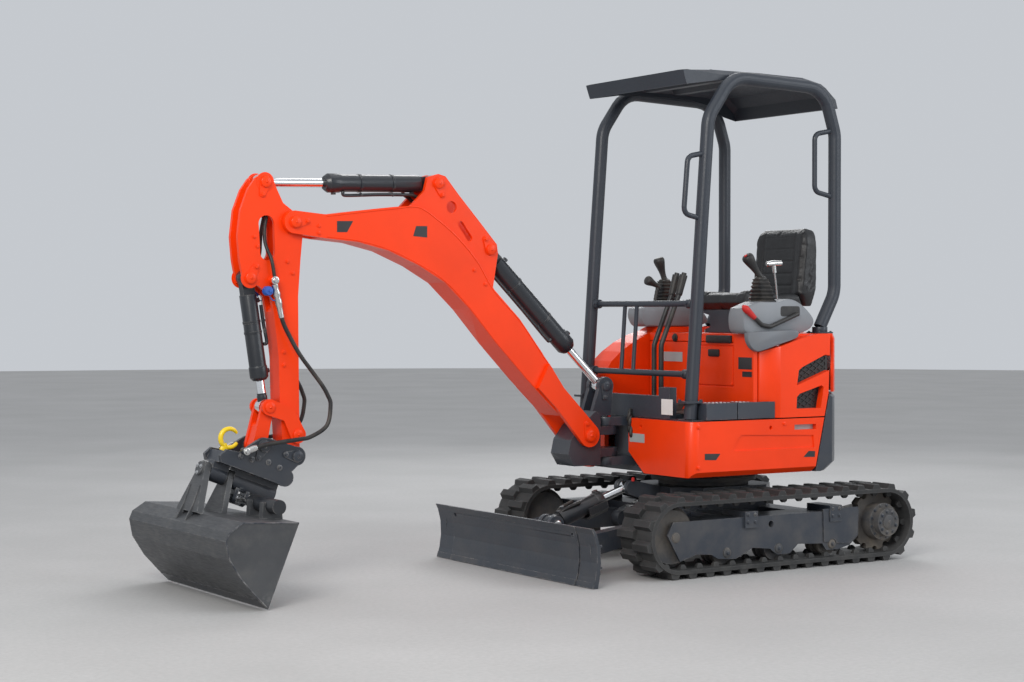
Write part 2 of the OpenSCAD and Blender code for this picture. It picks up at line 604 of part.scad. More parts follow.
// The floor with its step blocks and the dark plate across the front
step_w = 110;
step_split = 0.42;
floor_in = 34;
module floor_plate() {
  z = deck_z + seat_gap;
  x1 = post_x - tube_r - panel_gap;
  split = quarter_x + (x1 - quarter_x) * (1 - step_split);
  color("dimgray") difference() {
    union() {
      translate([0, 0, z]) linear_extrude(floor_z - z) intersection() {
        house_plan(floor_in);
        translate([base_x + panel_gap, base_y[0]]) square([tail_r, tail_r]);
      }
      translate([0, 0, z]) linear_extrude(step_z - z) difference() {
        intersection() {
          difference() { house_plan(sheet_t * 0.5); house_plan(step_w); }
          translate([quarter_x, half_w - step_w]) square([x1 - quarter_x, half_w]);
          union() {
            translate([base_x + panel_gap, 0]) square([tail_r, tail_r]);
            translate(scoop_at) circle(scoop_r - panel_gap);
          }
        }
        translate([split - panel_gap / 2, 0]) square([panel_gap, tail_r]);
      }
      translate([house_front - 1.5 * front_t, base_y[0], z]) cube([front_t, -base_y[0] + half_w * 0.63, step_h * 1.35]);
      translate([house_front - 1.5 * front_t, half_w * 0.63 - 2 * front_t, z]) cube([front_t, 2 * front_t, step_h * 1.9]);
    }
    for (s = [-1, 1]) translate([post_x, s * hoop_y, deck_z - cut]) cylinder(r = tube_r + side_gap, h = step_h * 2);
  }
}
// Left rear quarter with two windows for the grilles
quarter_shares = [[0.482, 0], [0.482, 0.76], [0.1, 0.83], [-0.6, 0.97], [-0.86, 1], [-1.5, 1], [-1.5, 0]];
upper_shares = [[-0.36, 0.38], [-0.4, 0.56], [-0.48, 0.6], [-1.0, 0.745], [-1.1, 0.735], [-1.12, 0.7], [-1.12, 0.56]];
lower_shares = [[-0.35, 0.1], [-0.36, 0.24], [-0.42, 0.28], [-0.92, 0.375], [-0.97, 0.35], [-0.9, 0.1]];
quarter_t = half_w - base_y[1] - panel_gap;
edge_r = 26;
function quarter(s) = [quarter_x + s[0] * (quarter_x - rear_x), deck_z + s[1] * (cover_z - deck_z)];
module quarter_left() {
  color("orangered") {
    difference() {
      intersection() {
        house_wall(deck_z, cover_z, quarter_t);
        slab(base_y[1] + panel_gap, tail_r) polygon([for (s = quarter_shares) quarter(s)]);
        joint_cut(panel_gap / 2, true);
      }
      for (w = [upper_shares, lower_shares]) slab(half_w - quarter_t - cut, tail_r) polygon([for (s = w) quarter(s)]);
      translate([scoop_at[0], scoop_at[1], deck_z - cut]) cylinder(r = scoop_r, h = cover_z);
    }
    intersection() {
      translate([scoop_at[0], scoop_at[1], deck_z]) difference() {
        cylinder(r = scoop_r + quarter_t / 2, h = cover_z - deck_z);
        translate([0, 0, -cut]) cylinder(r = scoop_r, h = cover_z);
      }
      slab(base_y[1] - quarter_t, half_w) polygon([for (s = quarter_shares) quarter(s)]);
      translate([quarter_x, base_y[1] - quarter_t, deck_z]) cube([base_x - sheet_t - panel_gap - quarter_x, 2 * quarter_t + panel_gap, cover_z]);
    }
  }
}
// Wire mesh behind the two windows
mesh_step = 24;
mesh_wire = 5;
module grilles() {
  y = half_w - quarter_t - seat_gap;
  color("black") slab(y - mesh_wire * 1.8, y - mesh_wire + cut) for (w = [upper_shares, lower_shares]) offset(delta = mesh_wire * 2) polygon([for (s = w) quarter(s)]);
  color("black") slab(y - mesh_wire, y) union() for (w = [upper_shares, lower_shares]) {
    difference() {
      offset(delta = mesh_wire * 2) polygon([for (s = w) quarter(s)]);
      offset(delta = -mesh_wire * 0.5) polygon([for (s = w) quarter(s)]);
    }
    intersection() {
      polygon([for (s = w) quarter(s)]);
      translate(quarter([-0.7, 0.45])) for (a = [28, -38]) rotate(a) for (i = [-9 : 9]) translate([-tail_r, i * mesh_step]) square([2 * tail_r, mesh_wire]);
    }
  }
}
// Right cover over the tanks, falling toward the front and rounded along its outer edge
tank_shares = [[1, 0], [1, 0.4], [0.97, 0.5], [0.86, 0.64], [0.7, 0.76], [0.5, 0.87], [0.28, 0.96], [0.08, 1.02], [0.04, 1.07], [-0.95, 1.07], [-0.95, 0]];
tank_front = 345;
tank_round = 70;
module tank_cover() {
  top = tank_top + cut;
  y = -half_w - cut;
  color("orangered") intersection() {
    translate([0, 0, deck_z]) linear_extrude(cover_h * 2) intersection() {
      house_plan(0);
      translate([-tail_r, -half_w]) square([2 * tail_r, half_w + base_y[0] - panel_gap]);
    }
    slab(y, 0) polygon([for (s = tank_shares) [s[0] * (s[0] > 0 ? tank_front : -rear_x), deck_z + s[1] * (cover_z - deck_z)]]);
    joint_cut(panel_gap / 2, true);
    along_x(-2 * tail_r, 2 * tail_r) union() {
      translate([y, deck_z - cut]) square([-y, top - deck_z - tank_round + cut]);
      translate([y + tank_round, deck_z]) square([-y - tank_round, top - deck_z]);
      translate([y + tank_round, top - tank_round]) circle(tank_round);
    }
  }
}
// Front wall and top of the seat's base, with a hatch and a latch plate
hatch_line = 6;
module seat_base() {
  y = [base_y[1] - house_w * 0.44, base_y[1] - house_w * 0.145];
  z = [floor_z + cover_h * 0.38, floor_z + cover_h * 1.0];
  wall_top = cover_z - floor_z - seat_gap;
  color("orangered") difference() {
    union() {
      translate([base_x - sheet_t, base_y[0], floor_z + seat_gap]) cube([sheet_t, base_y[1] - base_y[0], wall_top]);
      translate([0, 0, cover_z - sheet_t]) linear_extrude(sheet_t) {
        intersection() {
          house_plan(half_w - base_y[1]);
          translate([rear_x - lean, base_y[0]]) square([base_x - rear_x + lean, base_y[1] - base_y[0]]);
        }
        intersection() {
          house_plan(2 * hood_tube_r + panel_gap);
          translate([-2 * tail_r, -deck_bay * 1.4]) square([2 * tail_r + rear_x - 2 * panel_gap, 2.8 * deck_bay]);
        }
      }
    }
    translate([base_x - hatch_line, y[0], z[0]]) difference() {
      cube([hatch_line * 2, y[1] - y[0], z[1] - z[0]]);
      translate([-cut, hatch_line, hatch_line]) cube([hatch_line * 3, y[1] - y[0] - 2 * hatch_line, z[1] - z[0] - 2 * hatch_line]);
    }
    translate([base_x - hatch_line, base_y[0] - cut, z[1] + hatch_line * 2]) cube([hatch_line * 2, y[1] - base_y[0], hatch_line * 0.7]);
  }
}
// The rear cover that swings open on a pin at its right edge, with air slots
hood_deg = 50;
hood_pin_r = 7;
hood_axis = (tail_r - hood_tube_r) * [-cos(hood_deg), -sin(hood_deg)];
slot_count = 5;
module engine_hood() {
  z = weight_top + panel_gap;
  h = cover_z - z;
  wedge = 2 * tail_r * [cos(hood_deg), sin(hood_deg)];
  color("orangered") difference() {
    union() {
      intersection() {
        house_wall(z, cover_z, hood_t);
        translate([0, 0, weight_z]) linear_extrude(cover_z) polygon([[0, 0], [-wedge[0], wedge[1]], [-3 * tail_r, 0], -wedge]);
        rotate_extrude($fn = 128) polygon([[0, z - cut], [tail_r + cut, z - cut], [tail_r + cut, cover_z - edge_r], [tail_r - edge_r * 0.4, cover_z + cut], [0, cover_z + cut]]);
      }
      translate([hood_axis[0], hood_axis[1], z]) cylinder(r = hood_tube_r, h = h);
    }
    translate([hood_axis[0], hood_axis[1], z - cut]) cylinder(r = hood_pin_r + pin_gap, h = cover_z);
    for (i = [0 : slot_count - 1]) translate([-tail_r - cut, -house_w * 0.16, z + h * (0.35 + 0.09 * i)]) cube([tail_r * 0.2, house_w * 0.32, h * 0.045]);
  }
}
// A plain block for the engine
module engine_block() {
  x = -sqrt(pow(tail_r - weight_t - panel_gap, 2) - pow(engine_size[1] / 2, 2));
  color("gray") translate([x, -engine_size[1] / 2, skirt_z + base_t + seat_gap]) cube(engine_size);
}

// Canopy hoops of bent tube, the left one with two grab handles
canopy_h = roof_z - skirt_top;
hoop_shares = [[-0.0719, 0.545], [-0.116, 0.8575], [-0.2726, 0.97625], [-0.9188, 0.96375], [-1, 0.8325], [-1, 0.3631]];
grab_r = 12;
grab_out = 104;
grab_bend = 34;
front_grab_shares = [0.57, 0.757];
rear_grab_shares = [0.648, 0.842];
function hoop_path() = concat([[post_x, deck_z + seat_gap + tube_r * 0.073]], [for (s = hoop_shares) [post_x + s[0] * canopy_l, skirt_top + s[1] * canopy_h]], [[rear_post_x + canopy_l * 0.105, cover_z + tube_r]]);
function post_at(z) = let(h = hoop_path()) h[1][0] + (h[2][0] - h[1][0]) * (z - h[1][1]) / (h[2][1] - h[1][1]);
function grab(x0, x1, z0, z1) = [[x0, z0], [x0 + grab_out, z0 + grab_out * 0.2], [x1 + grab_out, z1 - grab_out * 0.2], [x1, z1]];
module hoop(s) {
  h = hoop_path();
  f = [for (k = front_grab_shares) skirt_top + k * canopy_h];
  r = [for (k = rear_grab_shares) skirt_top + k * canopy_h];
  color("slategray") translate([0, s * hoop_y, 0]) {
    tube_run(h, tube_r, bend_r);
    if (s > 0) {
      tube_run(grab(post_at(f[0]), post_at(f[1]), f[0], f[1]), grab_r, grab_bend, 12, 4);
      tube_run(grab(rear_post_x + tube_r * 0.7, rear_post_x + tube_r * 0.7, r[0], r[1]), grab_r, grab_bend, 12, 4);
    }
    translate([h[7][0], 0, cover_z + seat_gap]) cylinder(r = tube_r * 1.2, h = tube_r);
  }
}
module hoop_left() { hoop(1); }
module hoop_right() { hoop(-1); }
// The roof: a folded sheet with a front lip, a rear valance, side flanges and ribs below
roof_shares = [[0, -1.0], [0.03, -0.15], [-0.02, 0], [-0.2, 0.13], [-0.5, 0.16], [-0.8, 0.1], [-0.93, -0.2], [-1.01, -1.35], [-1.02, -2.9]];
roof_drop = 75;
roof_t = 8;
rib_shares = [-0.18, -0.4, -0.62];
rib_w = 46;
module canopy_roof() {
  y = hoop_y - tube_r - seat_gap;
  out = [for (s = roof_shares) [post_x - tube_r * 0.1 + s[0] * (canopy_l + tube_r), roof_z - roof_drop * 0.16 + s[1] * roof_drop]];
  in = [for (i = [len(out) - 1 : -1 : 0]) let(a = out[max(i - 1, 0)], b = out[min(i + 1, len(out) - 1)], d = unit(b - a)) out[i] + roof_t * [d[1], -d[0]] * -1];
  color("slategray") {
    slab(-y, y) polygon(concat(out, in));
    sides() slab(y - roof_t, y) polygon([out[2], out[3], out[4], out[5], out[6], out[6] - [0, roof_drop * 0.2], out[5] - [0, roof_drop * 0.5], out[3] - [0, roof_drop * 0.5], out[1] - [0, roof_drop * 0.5]]);
    for (s = rib_shares) let(x = post_x + s * canopy_l) translate([x - rib_w / 2, -y + cut, out[4][1] - roof_drop * 0.42]) cube([rib_w, 2 * y - 2 * cut, roof_drop * 0.36]);
  }
}
// The eye on top of the roof
eye_x = -40;
eye_t = 16;
eye_r = 26;
eye_hole_r = 12.1;
module lifting_eye() {
  z = roof_z + seat_gap;
  color("slategray") difference() {
    union() {
      translate([eye_x - eye_r, -eye_t / 2, z]) cube([2 * eye_r, eye_t, eye_r]);
      bar([eye_x, z + eye_r], eye_r, -eye_t / 2, eye_t / 2);
    }
    bar([eye_x, z + eye_r], eye_hole_r, -eye_t, eye_t);
  }
}
// Gate of round bar between the front posts
gate_shares = [0.131, 0.331];
gate_ys = [-0.334, -0.105];
module front_gate() {
  h = hoop_path();
  function px(z) = h[0][0] + (h[1][0] - h[0][0]) * (z - h[0][1]) / (h[1][1] - h[0][1]);
  z = [for (s = gate_shares) skirt_top + s * canopy_h];
  lean = atan2(px(z[0]) - px(z[1]), z[1] - z[0]);
  color("slategray") {
    for (k = z) bar([px(k), k], rail_r, -hoop_y + tube_r + seat_gap, hoop_y - tube_r - seat_gap);
    for (y = gate_ys * hoop_y) translate([px(z[0]), y, z[0]]) rotate([0, -lean, 0]) cylinder(r = rail_r * 0.7, h = (z[1] - z[0]) / cos(lean));
  }
}

// Seat on its mount
seat_front = base_x - 150;
seat_z = cover_z + seat_rise;
tank_top = deck_z + 1.07 * (cover_z - deck_z);
mount_shares = [[-0.36, 0], [0.36, 0], [0.36, 0.15], [0.27, 0.25], [0.27, 0.75], [0.4, 0.85], [0.4, 1], [-0.4, 1], [-0.4, 0.85], [-0.27, 0.75], [-0.27, 0.25], [-0.36, 0.15]];
cushion_shares = [[-1, 0], [-0.06, 0], [0, 0.08], [-0.03, 0.2], [-0.93, 0.16]];
back_rest_shares = [[-1.001, 0], [-0.931, 0.16], [-1.03, 0.98], [-1.08, 1.03], [-1.2, 1], [-1.2, 0.25], [-1.12, 0]];
module seat_mount() {
  h = seat_rise - 2 * seat_gap;
  color("black") along_x(seat_front - 0.92 * seat_deep, seat_front - 0.12 * seat_deep)
    translate([0, cover_z + seat_gap]) polygon([for (s = mount_shares) [s[0] * seat_w, s[1] * h]]);
}
function on_seat(s) = [seat_front + s[0] * seat_deep, seat_z + s[1] * seat_deep];
module seat_cushion() { color("black") slab(-seat_w / 2, seat_w / 2) polygon([for (s = cushion_shares) on_seat(s)]); }
module seat_back() { color("black") slab(-seat_w / 2, seat_w / 2) polygon([for (s = back_rest_shares) on_seat(s)]); }
// Consoles beside the seat
console_shares = [[0.94, 0.87], [0.5, 1], [-0.81, 1], [-1.6, 0.9], [-3.19, 0.74], [-2.86, 0.51], [-1.71, 0.05], [0.3, 0], [0.54, 0.02], [0.79, 0.22]];
console_q = 100;
console_y = 395;
console_w = 120;
console_top = cover_z + 149;
module console(s) {
  low = (s > 0 ? cover_z : tank_top) + seat_gap;
  color("silver") slab(s * console_y - console_w / 2, s * console_y + console_w / 2)
    polygon([for (p = console_shares) [p[0] * console_q, low + p[1] * (console_top - low)]]);
}
module console_left() { console(1); }
module console_right() { console(-1); }
// Sticks in their bellows, with a small lever beside each
joy_r = 48;
bellow_shares = [[0, 0], [1, 0], [0.83, 0.42], [0.92, 0.54], [0.67, 0.96], [0.75, 1.08], [0.5, 1.54], [0.58, 1.67], [0.31, 2.17], [0, 2.17]];
grip_shares = [[0, 0], [0.29, 0], [0.44, 0.62], [0.48, 1.15], [0.35, 1.62], [0, 1.75]];
joy_x = [-28, -72];
joy_tilt = [30, 20];
module stick(r, h) {
  cylinder(r = r * 0.23, h = h * 1.1);
  translate([0, 0, h]) rotate_extrude() polygon(r * grip_shares);
}
module joysticks() {
  z = console_top + seat_gap;
  color("black") {
    for (i = [0, 1]) translate([joy_x[i], (1 - 2 * i) * console_y, z]) {
      rotate_extrude() polygon(joy_r * bellow_shares);
      translate([0, 0, joy_r * 2]) rotate([0, joy_tilt[i], 0]) stick(joy_r, joy_r * 0.7);
    }
    translate([joy_x[0] - joy_r * 0.9, console_y - joy_r, z]) {
      cylinder(r = joy_r * 0.16, h = joy_r * 3.2);
      translate([-joy_r, 0, joy_r * 3.2]) rotate([0, 90, 0]) cylinder(r = joy_r * 0.22, h = joy_r * 2);
    }
    translate([joy_x[1] + joy_r * 1.7, -console_y + joy_r * 0.5, z + joy_r * 0.055]) rotate([0, 18, 0]) stick(joy_r * 0.7, joy_r * 1.3);
  }
}
// The lever that locks the controls, beside the left console
lock_r = 10;
lock_shares = [[-1.9, 0.62], [-0.2, 0.22], [0.3, 0.28], [1.35, 0.82]];
module lock_lever() {
  color("black") translate([0, console_y + console_w / 2 + lock_r + seat_gap, 0])
    tube_run([for (p = lock_shares) [p[0] * console_q, cover_z + p[1] * (console_top - cover_z)]], lock_r, lock_r * 5, 12, 4);
}
// Travel levers, bent back toward the seat
lever_x = 264;
lever_ys = [-40, 15];
lever_r = 12;
lever_h = 650;
module travel_levers() {
  z = floor_z + seat_gap;
  color("dimgray") for (y = lever_ys) translate([0, y, 0]) {
    tube_run([[lever_x, z], [lever_x, z + lever_h * 0.475], [lever_x - lever_h * 0.16, z + lever_h * 0.84], [lever_x - lever_h * 0.21, z + lever_h]], lever_r, lever_r * 6, 12, 4);
    translate([lever_x, 0, z]) cylinder(r = lever_r * 2, h = lever_r * 2);
    translate([lever_x - lever_h * 0.16, 0, z + lever_h * 0.84]) rotate([0, -17, 0]) cylinder(r1 = lever_r * 1.3, r2 = lever_r * 1.6, h = lever_h * 0.15);
  }
}

// The bracket that swings the boom, with its two knuckles
module swing_bracket() {
  k = knuckle_r;
  x0 = swing_x + k * 1.2;
  low = lug_low;
  high = lug_high;
  top = high + lug_t;
  color("slategray") difference() {
    union() {
      for (z = [low + lug_t + side_gap / 2, high - lug_t - side_gap / 2]) translate([0, boom_y, z]) linear_extrude(lug_t) {
        translate([swing_x, 0]) circle(k);
        polygon([[swing_x, k], [foot[0], foot_boss], [foot[0], -foot_boss], [swing_x, -k]]);
      }
      mid(foot_boss) {
        polygon([[x0, low + k * 0.07], [foot[0] + k * 1.17, low + k * 0.07], foot + k * [1.75, -1.42], foot + k * [1.5, -0.33],
                 foot + k * [0.67, 0.7], foot + k * [-0.83, 1.83], [x0, top + k * 0.17]]);
        translate(foot) circle(k * 0.93);
      }
      both(lug_in, lug_out) {
        translate(lift_lug) circle(k * 0.7);
        polygon([lift_lug - k * [0.67, 0.17], [lift_lug[0] - k * 0.43, top + k * 0.13], [x0 + cut, top + k * 0.1], [x0 + cut, high - k * 0.5], foot + k * [-0.67, 1],
                 foot + k * [-0.8, 1.83], lift_lug + k * [0.67, -0.17]]);
      }
      bar_both(lift_lug, pin_r, lug_in + cut, lug_out + head_t);
      translate([swing_x, boom_y, low + seat_gap]) cylinder(r = big_pin_r, h = lug_t * 2);
      translate([swing_x, boom_y, high - lug_t - seat_gap]) cylinder(r = big_pin_r, h = lug_t * 2);
    }
    bar_mid(foot, big_pin_r + pin_gap, foot_boss + cut);
  }
}

// The boom: box, foot ears, ears for the cylinders and the fork at its tip
back_shares = [[0.068, 0.116], [0.097, 0.149], [0.167, 0.255], [0.25, 0.36], [0.339, 0.446], [0.4, 0.536], [0.466, 0.603], [0.531, 0.652], [0.6, 0.69], [0.677, 0.685],
  [0.801, 0.67], [0.91, 0.6555]];
belly_shares = [[0.91, 0.59], [0.801, 0.581], [0.701, 0.558], [0.599, 0.516], [0.511, 0.467], [0.426, 0.389], [0.333, 0.286], [0.223, 0.1745], [0.126, 0.085], [0.1, 0.063]];
ear_shares = [[0.574, 0.735], [0.563, 0.776], [0.527, 0.786], [0.503, 0.78], [0.458, 0.728], [0.391, 0.656], [0.324, 0.583], [0.32, 0.556], [0.34, 0.44], [0.42, 0.53], [0.56, 0.64], [0.64, 0.67]];
boom_tip_r = 48;
boom_ear_r = 54;
boom_hole_r = 26;
function on_boom(s) = foot + boom_span * s;
module boom() {
  e = boom_ear_r;
  color("orangered") difference() {
    union() {
      mid(box_half) polygon([for (s = concat(back_shares, belly_shares)) on_boom(s)]);
      both(fork_in, box_half) {
        translate(elbow) circle(boom_tip_r);
        polygon([on_boom([0.9, 0.6565]), elbow + [0, boom_tip_r], elbow - [0, boom_tip_r], on_boom([0.9, 0.589])]);
      }
      both(foot_in, foot_out) {
        translate(foot) circle(e);
        polygon([foot + e * [-0.72, 0.69], on_boom([0.097, 0.149]), on_boom([0.15, 0.223]), on_boom([0.19, 0.15]), on_boom([0.126, 0.09]), foot + e * [0.72, -0.69]]);
      }
      both(boom_ear_in, boom_ear_out) polygon([for (s = ear_shares) on_boom(s)]);
      bar_mid(foot, big_pin_r, foot_out + head_t);
      bar_mid(elbow, pin_r, box_half + head_t);
      bar_mid(lift_pin, pin_r, boom_ear_out + head_t);
      bar_mid(crowd_pin, pin_r, boom_ear_out + head_t);
    }
    mid(boom_w) translate(on_boom([0.482, 0.69])) circle(boom_hole_r);
    mid(boom_w) strap(on_boom([0.42, 0.6]), on_boom([0.45, 0.64]), boom_hole_r * 0.54, boom_hole_r * 0.54);
  }
}
lift_len = norm(lift_pin - lift_lug);
lift_gland = lift_len * 0.7178;
wide_eye = boom_ear_in - side_gap - cut;
module boom_cyl_barrel() { color("dimgray") aim(lift_pin, lift_lug, boom_y) barrel(boom_cyl_r, lift_gland, boom_cyl_r * 0.95, wide_eye, pin_r, boom_cyl_r * 1.86); }
module boom_cyl_rod() { color("silver") aim(lift_pin, lift_lug, boom_y) rod(lift_len * 0.3477, lift_len, boom_cyl_r * 0.86, eye_half, pin_r); }

// The arm: two cheeks above, a closed box below
arm_front_shares = [[0.134, 0.2065], [0.17, 0.184], [0.2055, 0.135], [0.24, 0.047], [0.2535, -0.0665], [0.245, -0.1626], [0.236, -0.2086], [0.222, -0.2607], [0.1585, -0.273], [0.101, -0.318],
  [0.087, -0.3834], [0.0634, -0.58], [0.0593, -0.757]];
arm_back_shares = [[-0.0317, -0.7127], [-0.0286, -0.317], [-0.04, -0.1605], [-0.05, -0.06], [-0.045, 0.02], [0.042, 0.0818], [0.0706, 0.139], [0.092, 0.19]];
arm_box_shares = [[[-0.031, -0.7127], [-0.028, -0.317], [-0.036, -0.1605], [-0.03, -0.1]], [[0.06, -0.33], [0.0865, -0.3834], [0.063, -0.58], [0.059, -0.757]]];
arm_hub_r = 46;
arm_tip_r = 44;
valve_share = [0.0965, -0.25];
valve_r = 16;
function on_arm(s) = elbow + arm_len * s;
module arm() {
  e = arm_tip_r;
  tip = [tip_pin + e * [0.98, 0], tip_pin - e * [0.76, 0]];
  color("orangered") difference() {
    union() {
      both(cheek_in, arm_half) {
        difference() {
          polygon(concat([for (s = arm_front_shares) on_arm(s)], tip, [for (s = arm_back_shares) on_arm(s)]));
          strap(on_arm([0.12, -0.01]), on_arm([0.115, -0.13]), e * 0.82, e * 0.78);
        }
        translate(tip_pin) circle(e);
      }
      mid(arm_half - cut) {
        polygon(concat([for (s = arm_box_shares[1]) on_arm(s)], tip, [for (s = arm_box_shares[0]) on_arm(s)]));
        translate(tip_pin) circle(e - cut);
      }
      bar_mid(elbow, arm_hub_r, arm_half);
      bar_both(crowd_lug, pin_r, cheek_in + cut, arm_half + head_t);
      bar_mid(curl_pin, pin_r, arm_half + head_t);
      bar_mid(idler_pin, pin_r, idler_out + side_gap / 2);
      bar_both(on_arm(valve_share), valve_r, arm_half - cut, arm_half + 2.2 * valve_r);
    }
    bar_mid(elbow, pin_r + pin_gap, boom_w);
    bar_mid(tip_pin, pin_r + pin_gap, boom_w);
  }
}
crowd_len = norm(crowd_lug - crowd_pin);
crowd_gland = crowd_len * 0.6406;
module arm_cyl_barrel() { color("dimgray") aim(crowd_pin, crowd_lug, boom_y) barrel(arm_cyl_r, crowd_gland, arm_cyl_r, wide_eye, pin_r, arm_cyl_r * 1.9); }
module arm_cyl_rod() { color("silver") aim(crowd_pin, crowd_lug, boom_y) rod(crowd_len * 0.4351, crowd_len, arm_cyl_r * 0.895, eye_half, pin_r); }
curl_len = norm(link_pin - curl_pin);
curl_gland = curl_len * 0.7916;
narrow_eye = cheek_in - side_gap - cut;
module bucket_cyl_barrel() { color("dimgray") aim(curl_pin, link_pin, boom_y) barrel(bucket_cyl_r, curl_gland, bucket_cyl_r * 0.94, narrow_eye, pin_r, bucket_cyl_r * 1.94); }
module bucket_cyl_rod() { color("silver") aim(curl_pin, link_pin, boom_y) rod(curl_len * 0.2062, curl_len, bucket_cyl_r * 0.89, eye_half, pin_r); }

// Links between the arm, the bucket cylinder and the hitch; the pair on the arm is bowed
bow_share = 0.2;
idler_mid = (idler_pin + link_pin) / 2 + bow_share * [idler_pin[1] - link_pin[1], link_pin[0] - idler_pin[0]];
link_r = 34;
module idler_links() {
  color("orangered") difference() {
    union() {
      both(idler_in, idler_out) {
        strap(idler_pin, idler_mid, link_r * 1.05, link_r * 0.92);
        strap(idler_mid, link_pin, link_r * 0.92, link_r);
      }
      bar_both(link_pin, pin_r, idler_in + cut, idler_out + side_gap / 2);
    }
    bar_mid(idler_pin, pin_r + pin_gap, boom_w);
  }
}
module bucket_link() {
  color("orangered") difference() {
    union() {
      both(link_in, link_out) strap(link_pin, hitch_pin, link_r * 0.8, link_r * 0.94);
      mid(link_out - cut) strap(link_pin + 0.55 * (hitch_pin - link_pin), hitch_pin, link_r * 0.7, link_r * 0.82);
    }
    bar_mid(hitch_pin, pin_r + pin_gap, boom_w);
  }
}

// Places along the tilt axis, with +X along it and its pin at the front
module on_tilt() {
  translate([tilt_pin[0], boom_y, tilt_pin[1]]) rotate([0, -tilt_deg, 0]) children();
}
// A cylinder along the tilt axis between two places on it
module tilt_bar(s0, s1, r) {
  translate([s0, 0, 0]) rotate([0, 90, 0]) cylinder(r = r, h = s1 - s0);
}
function off_tilt(s, t) = tilt_pin + hitch_len * (s * [cos(tilt_deg), sin(tilt_deg)] + t * [-sin(tilt_deg), cos(tilt_deg)]);
hub_r = 36;
hub_len = hitch_len * 2.0886;
tilt_pin_r = 20;
tilt_lug_s = -1.171;
tilt_lug_t = -0.4304;
tilt_lug = off_tilt(tilt_lug_s, tilt_lug_t);
ear_front = 14;
ear_rear = hitch_len * [-0.772, -0.62];
port_at = tip_pin + hitch_len * [1.55, 0.2];
port_r = 14;
module coupler() {
  h = hub_r;
  color("slategray") difference() {
    union() {
      both(ear_in, ear_out) {
        polygon([tip_pin + h * [-1, 0.28], tip_pin + h * [-0.11, 1.06], hitch_pin + h * [-0.56, 0.94], hitch_pin + h * [0.83, 0.72], off_tilt(-0.5823, 0.7089), off_tilt(-0.1899, 0.6582), off_tilt(-0.06329, 0.443),
                 off_tilt(-0.1519, 0.2911), off_tilt(-2.089, 0.2785), off_tilt(-2.291, 0.481), off_tilt(-2.152, 0.6835), tip_pin + h * [-1.11, -0.28]]);
        translate(tip_pin) circle(h * 1.11);
        translate(hitch_pin) circle(h);
        translate(off_tilt(-2.038, 0.4937)) circle(h * 1.05);
      }
      mid(ear_in + cut) polygon([off_tilt(-0.1519, 0.2911), off_tilt(-0.1899, 0.6076), off_tilt(-0.5063, 0.6329), off_tilt(-0.8861, 0.4557), off_tilt(-2.038, 0.4557), off_tilt(-2.089, 0.2785)]);
      on_tilt() {
        tilt_bar(-hub_len, ear_rear[0] - side_gap, h);
        tilt_bar(ear_rear[1] + side_gap, -ear_front - side_gap, h);
        translate([-hub_len, -h * 0.8, 0]) cube([hub_len + ear_rear[0] - side_gap, h * 1.6, h * 1.39]);
        translate([ear_rear[1] + side_gap, -h * 0.8, 0]) cube([-ear_rear[1] - ear_front - 3 * side_gap, h * 1.6, h * 1.39]);
      }
      bar_mid(tip_pin, pin_r, ear_out + head_t);
      bar_mid(hitch_pin, pin_r, ear_out + head_t);
      bar_both(port_at, port_r, ear_out - cut, ear_out + 2.6 * port_r);
    }
    on_tilt() tilt_bar(-2 * hub_len, 2 * hub_len, tilt_pin_r + pin_gap);
  }
}
// Two plates under the hub that take the tilt cylinder's rod
tilt_gap = 17;
tilt_lug_w = 16;
tilt_eye_r = 24;
module tilt_lugs() {
  s = tilt_lug_s * hitch_len;
  t = tilt_lug_t * hitch_len;
  color("slategray") on_tilt() difference() {
    for (x = [s - tilt_gap - tilt_lug_w, s + tilt_gap]) {
      translate([x, 0, 0]) rotate([0, 90, 0]) linear_extrude(tilt_lug_w) strap([hub_r, 0], [-t, 0], hub_r * 0.8, tilt_eye_r);
      translate([x - (x < s ? head_t : 0), 0, t]) rotate([0, 90, 0]) cylinder(r = tilt_eye_r * 0.6, h = tilt_lug_w + head_t);
    }
    tilt_bar(s - hub_len, s + hub_len, hub_r + seat_gap);
  }
}
// Safety hook that stands on the hitch
hook_t = 22;
hook_r = 50;
hook_in_r = 29;
module lifting_hook() {
  c = off_tilt(-0.3924, 1);
  h = hook_r;
  color("gold") mid(hook_t / 2) difference() {
    union() {
      translate(c) circle(h);
      polygon([off_tilt(-0.4937, 0.63449), off_tilt(-0.2278, 0.61329), c + h * [0.98, 0.1], c + h * [-0.6, -0.78]]);
    }
    translate(c) circle(hook_in_r);
    translate(c) polygon(h * [[0, 0.25], [-1.2, 0.75], [-1.2, -0.35], [-0.2, -0.3]]);
  }
}
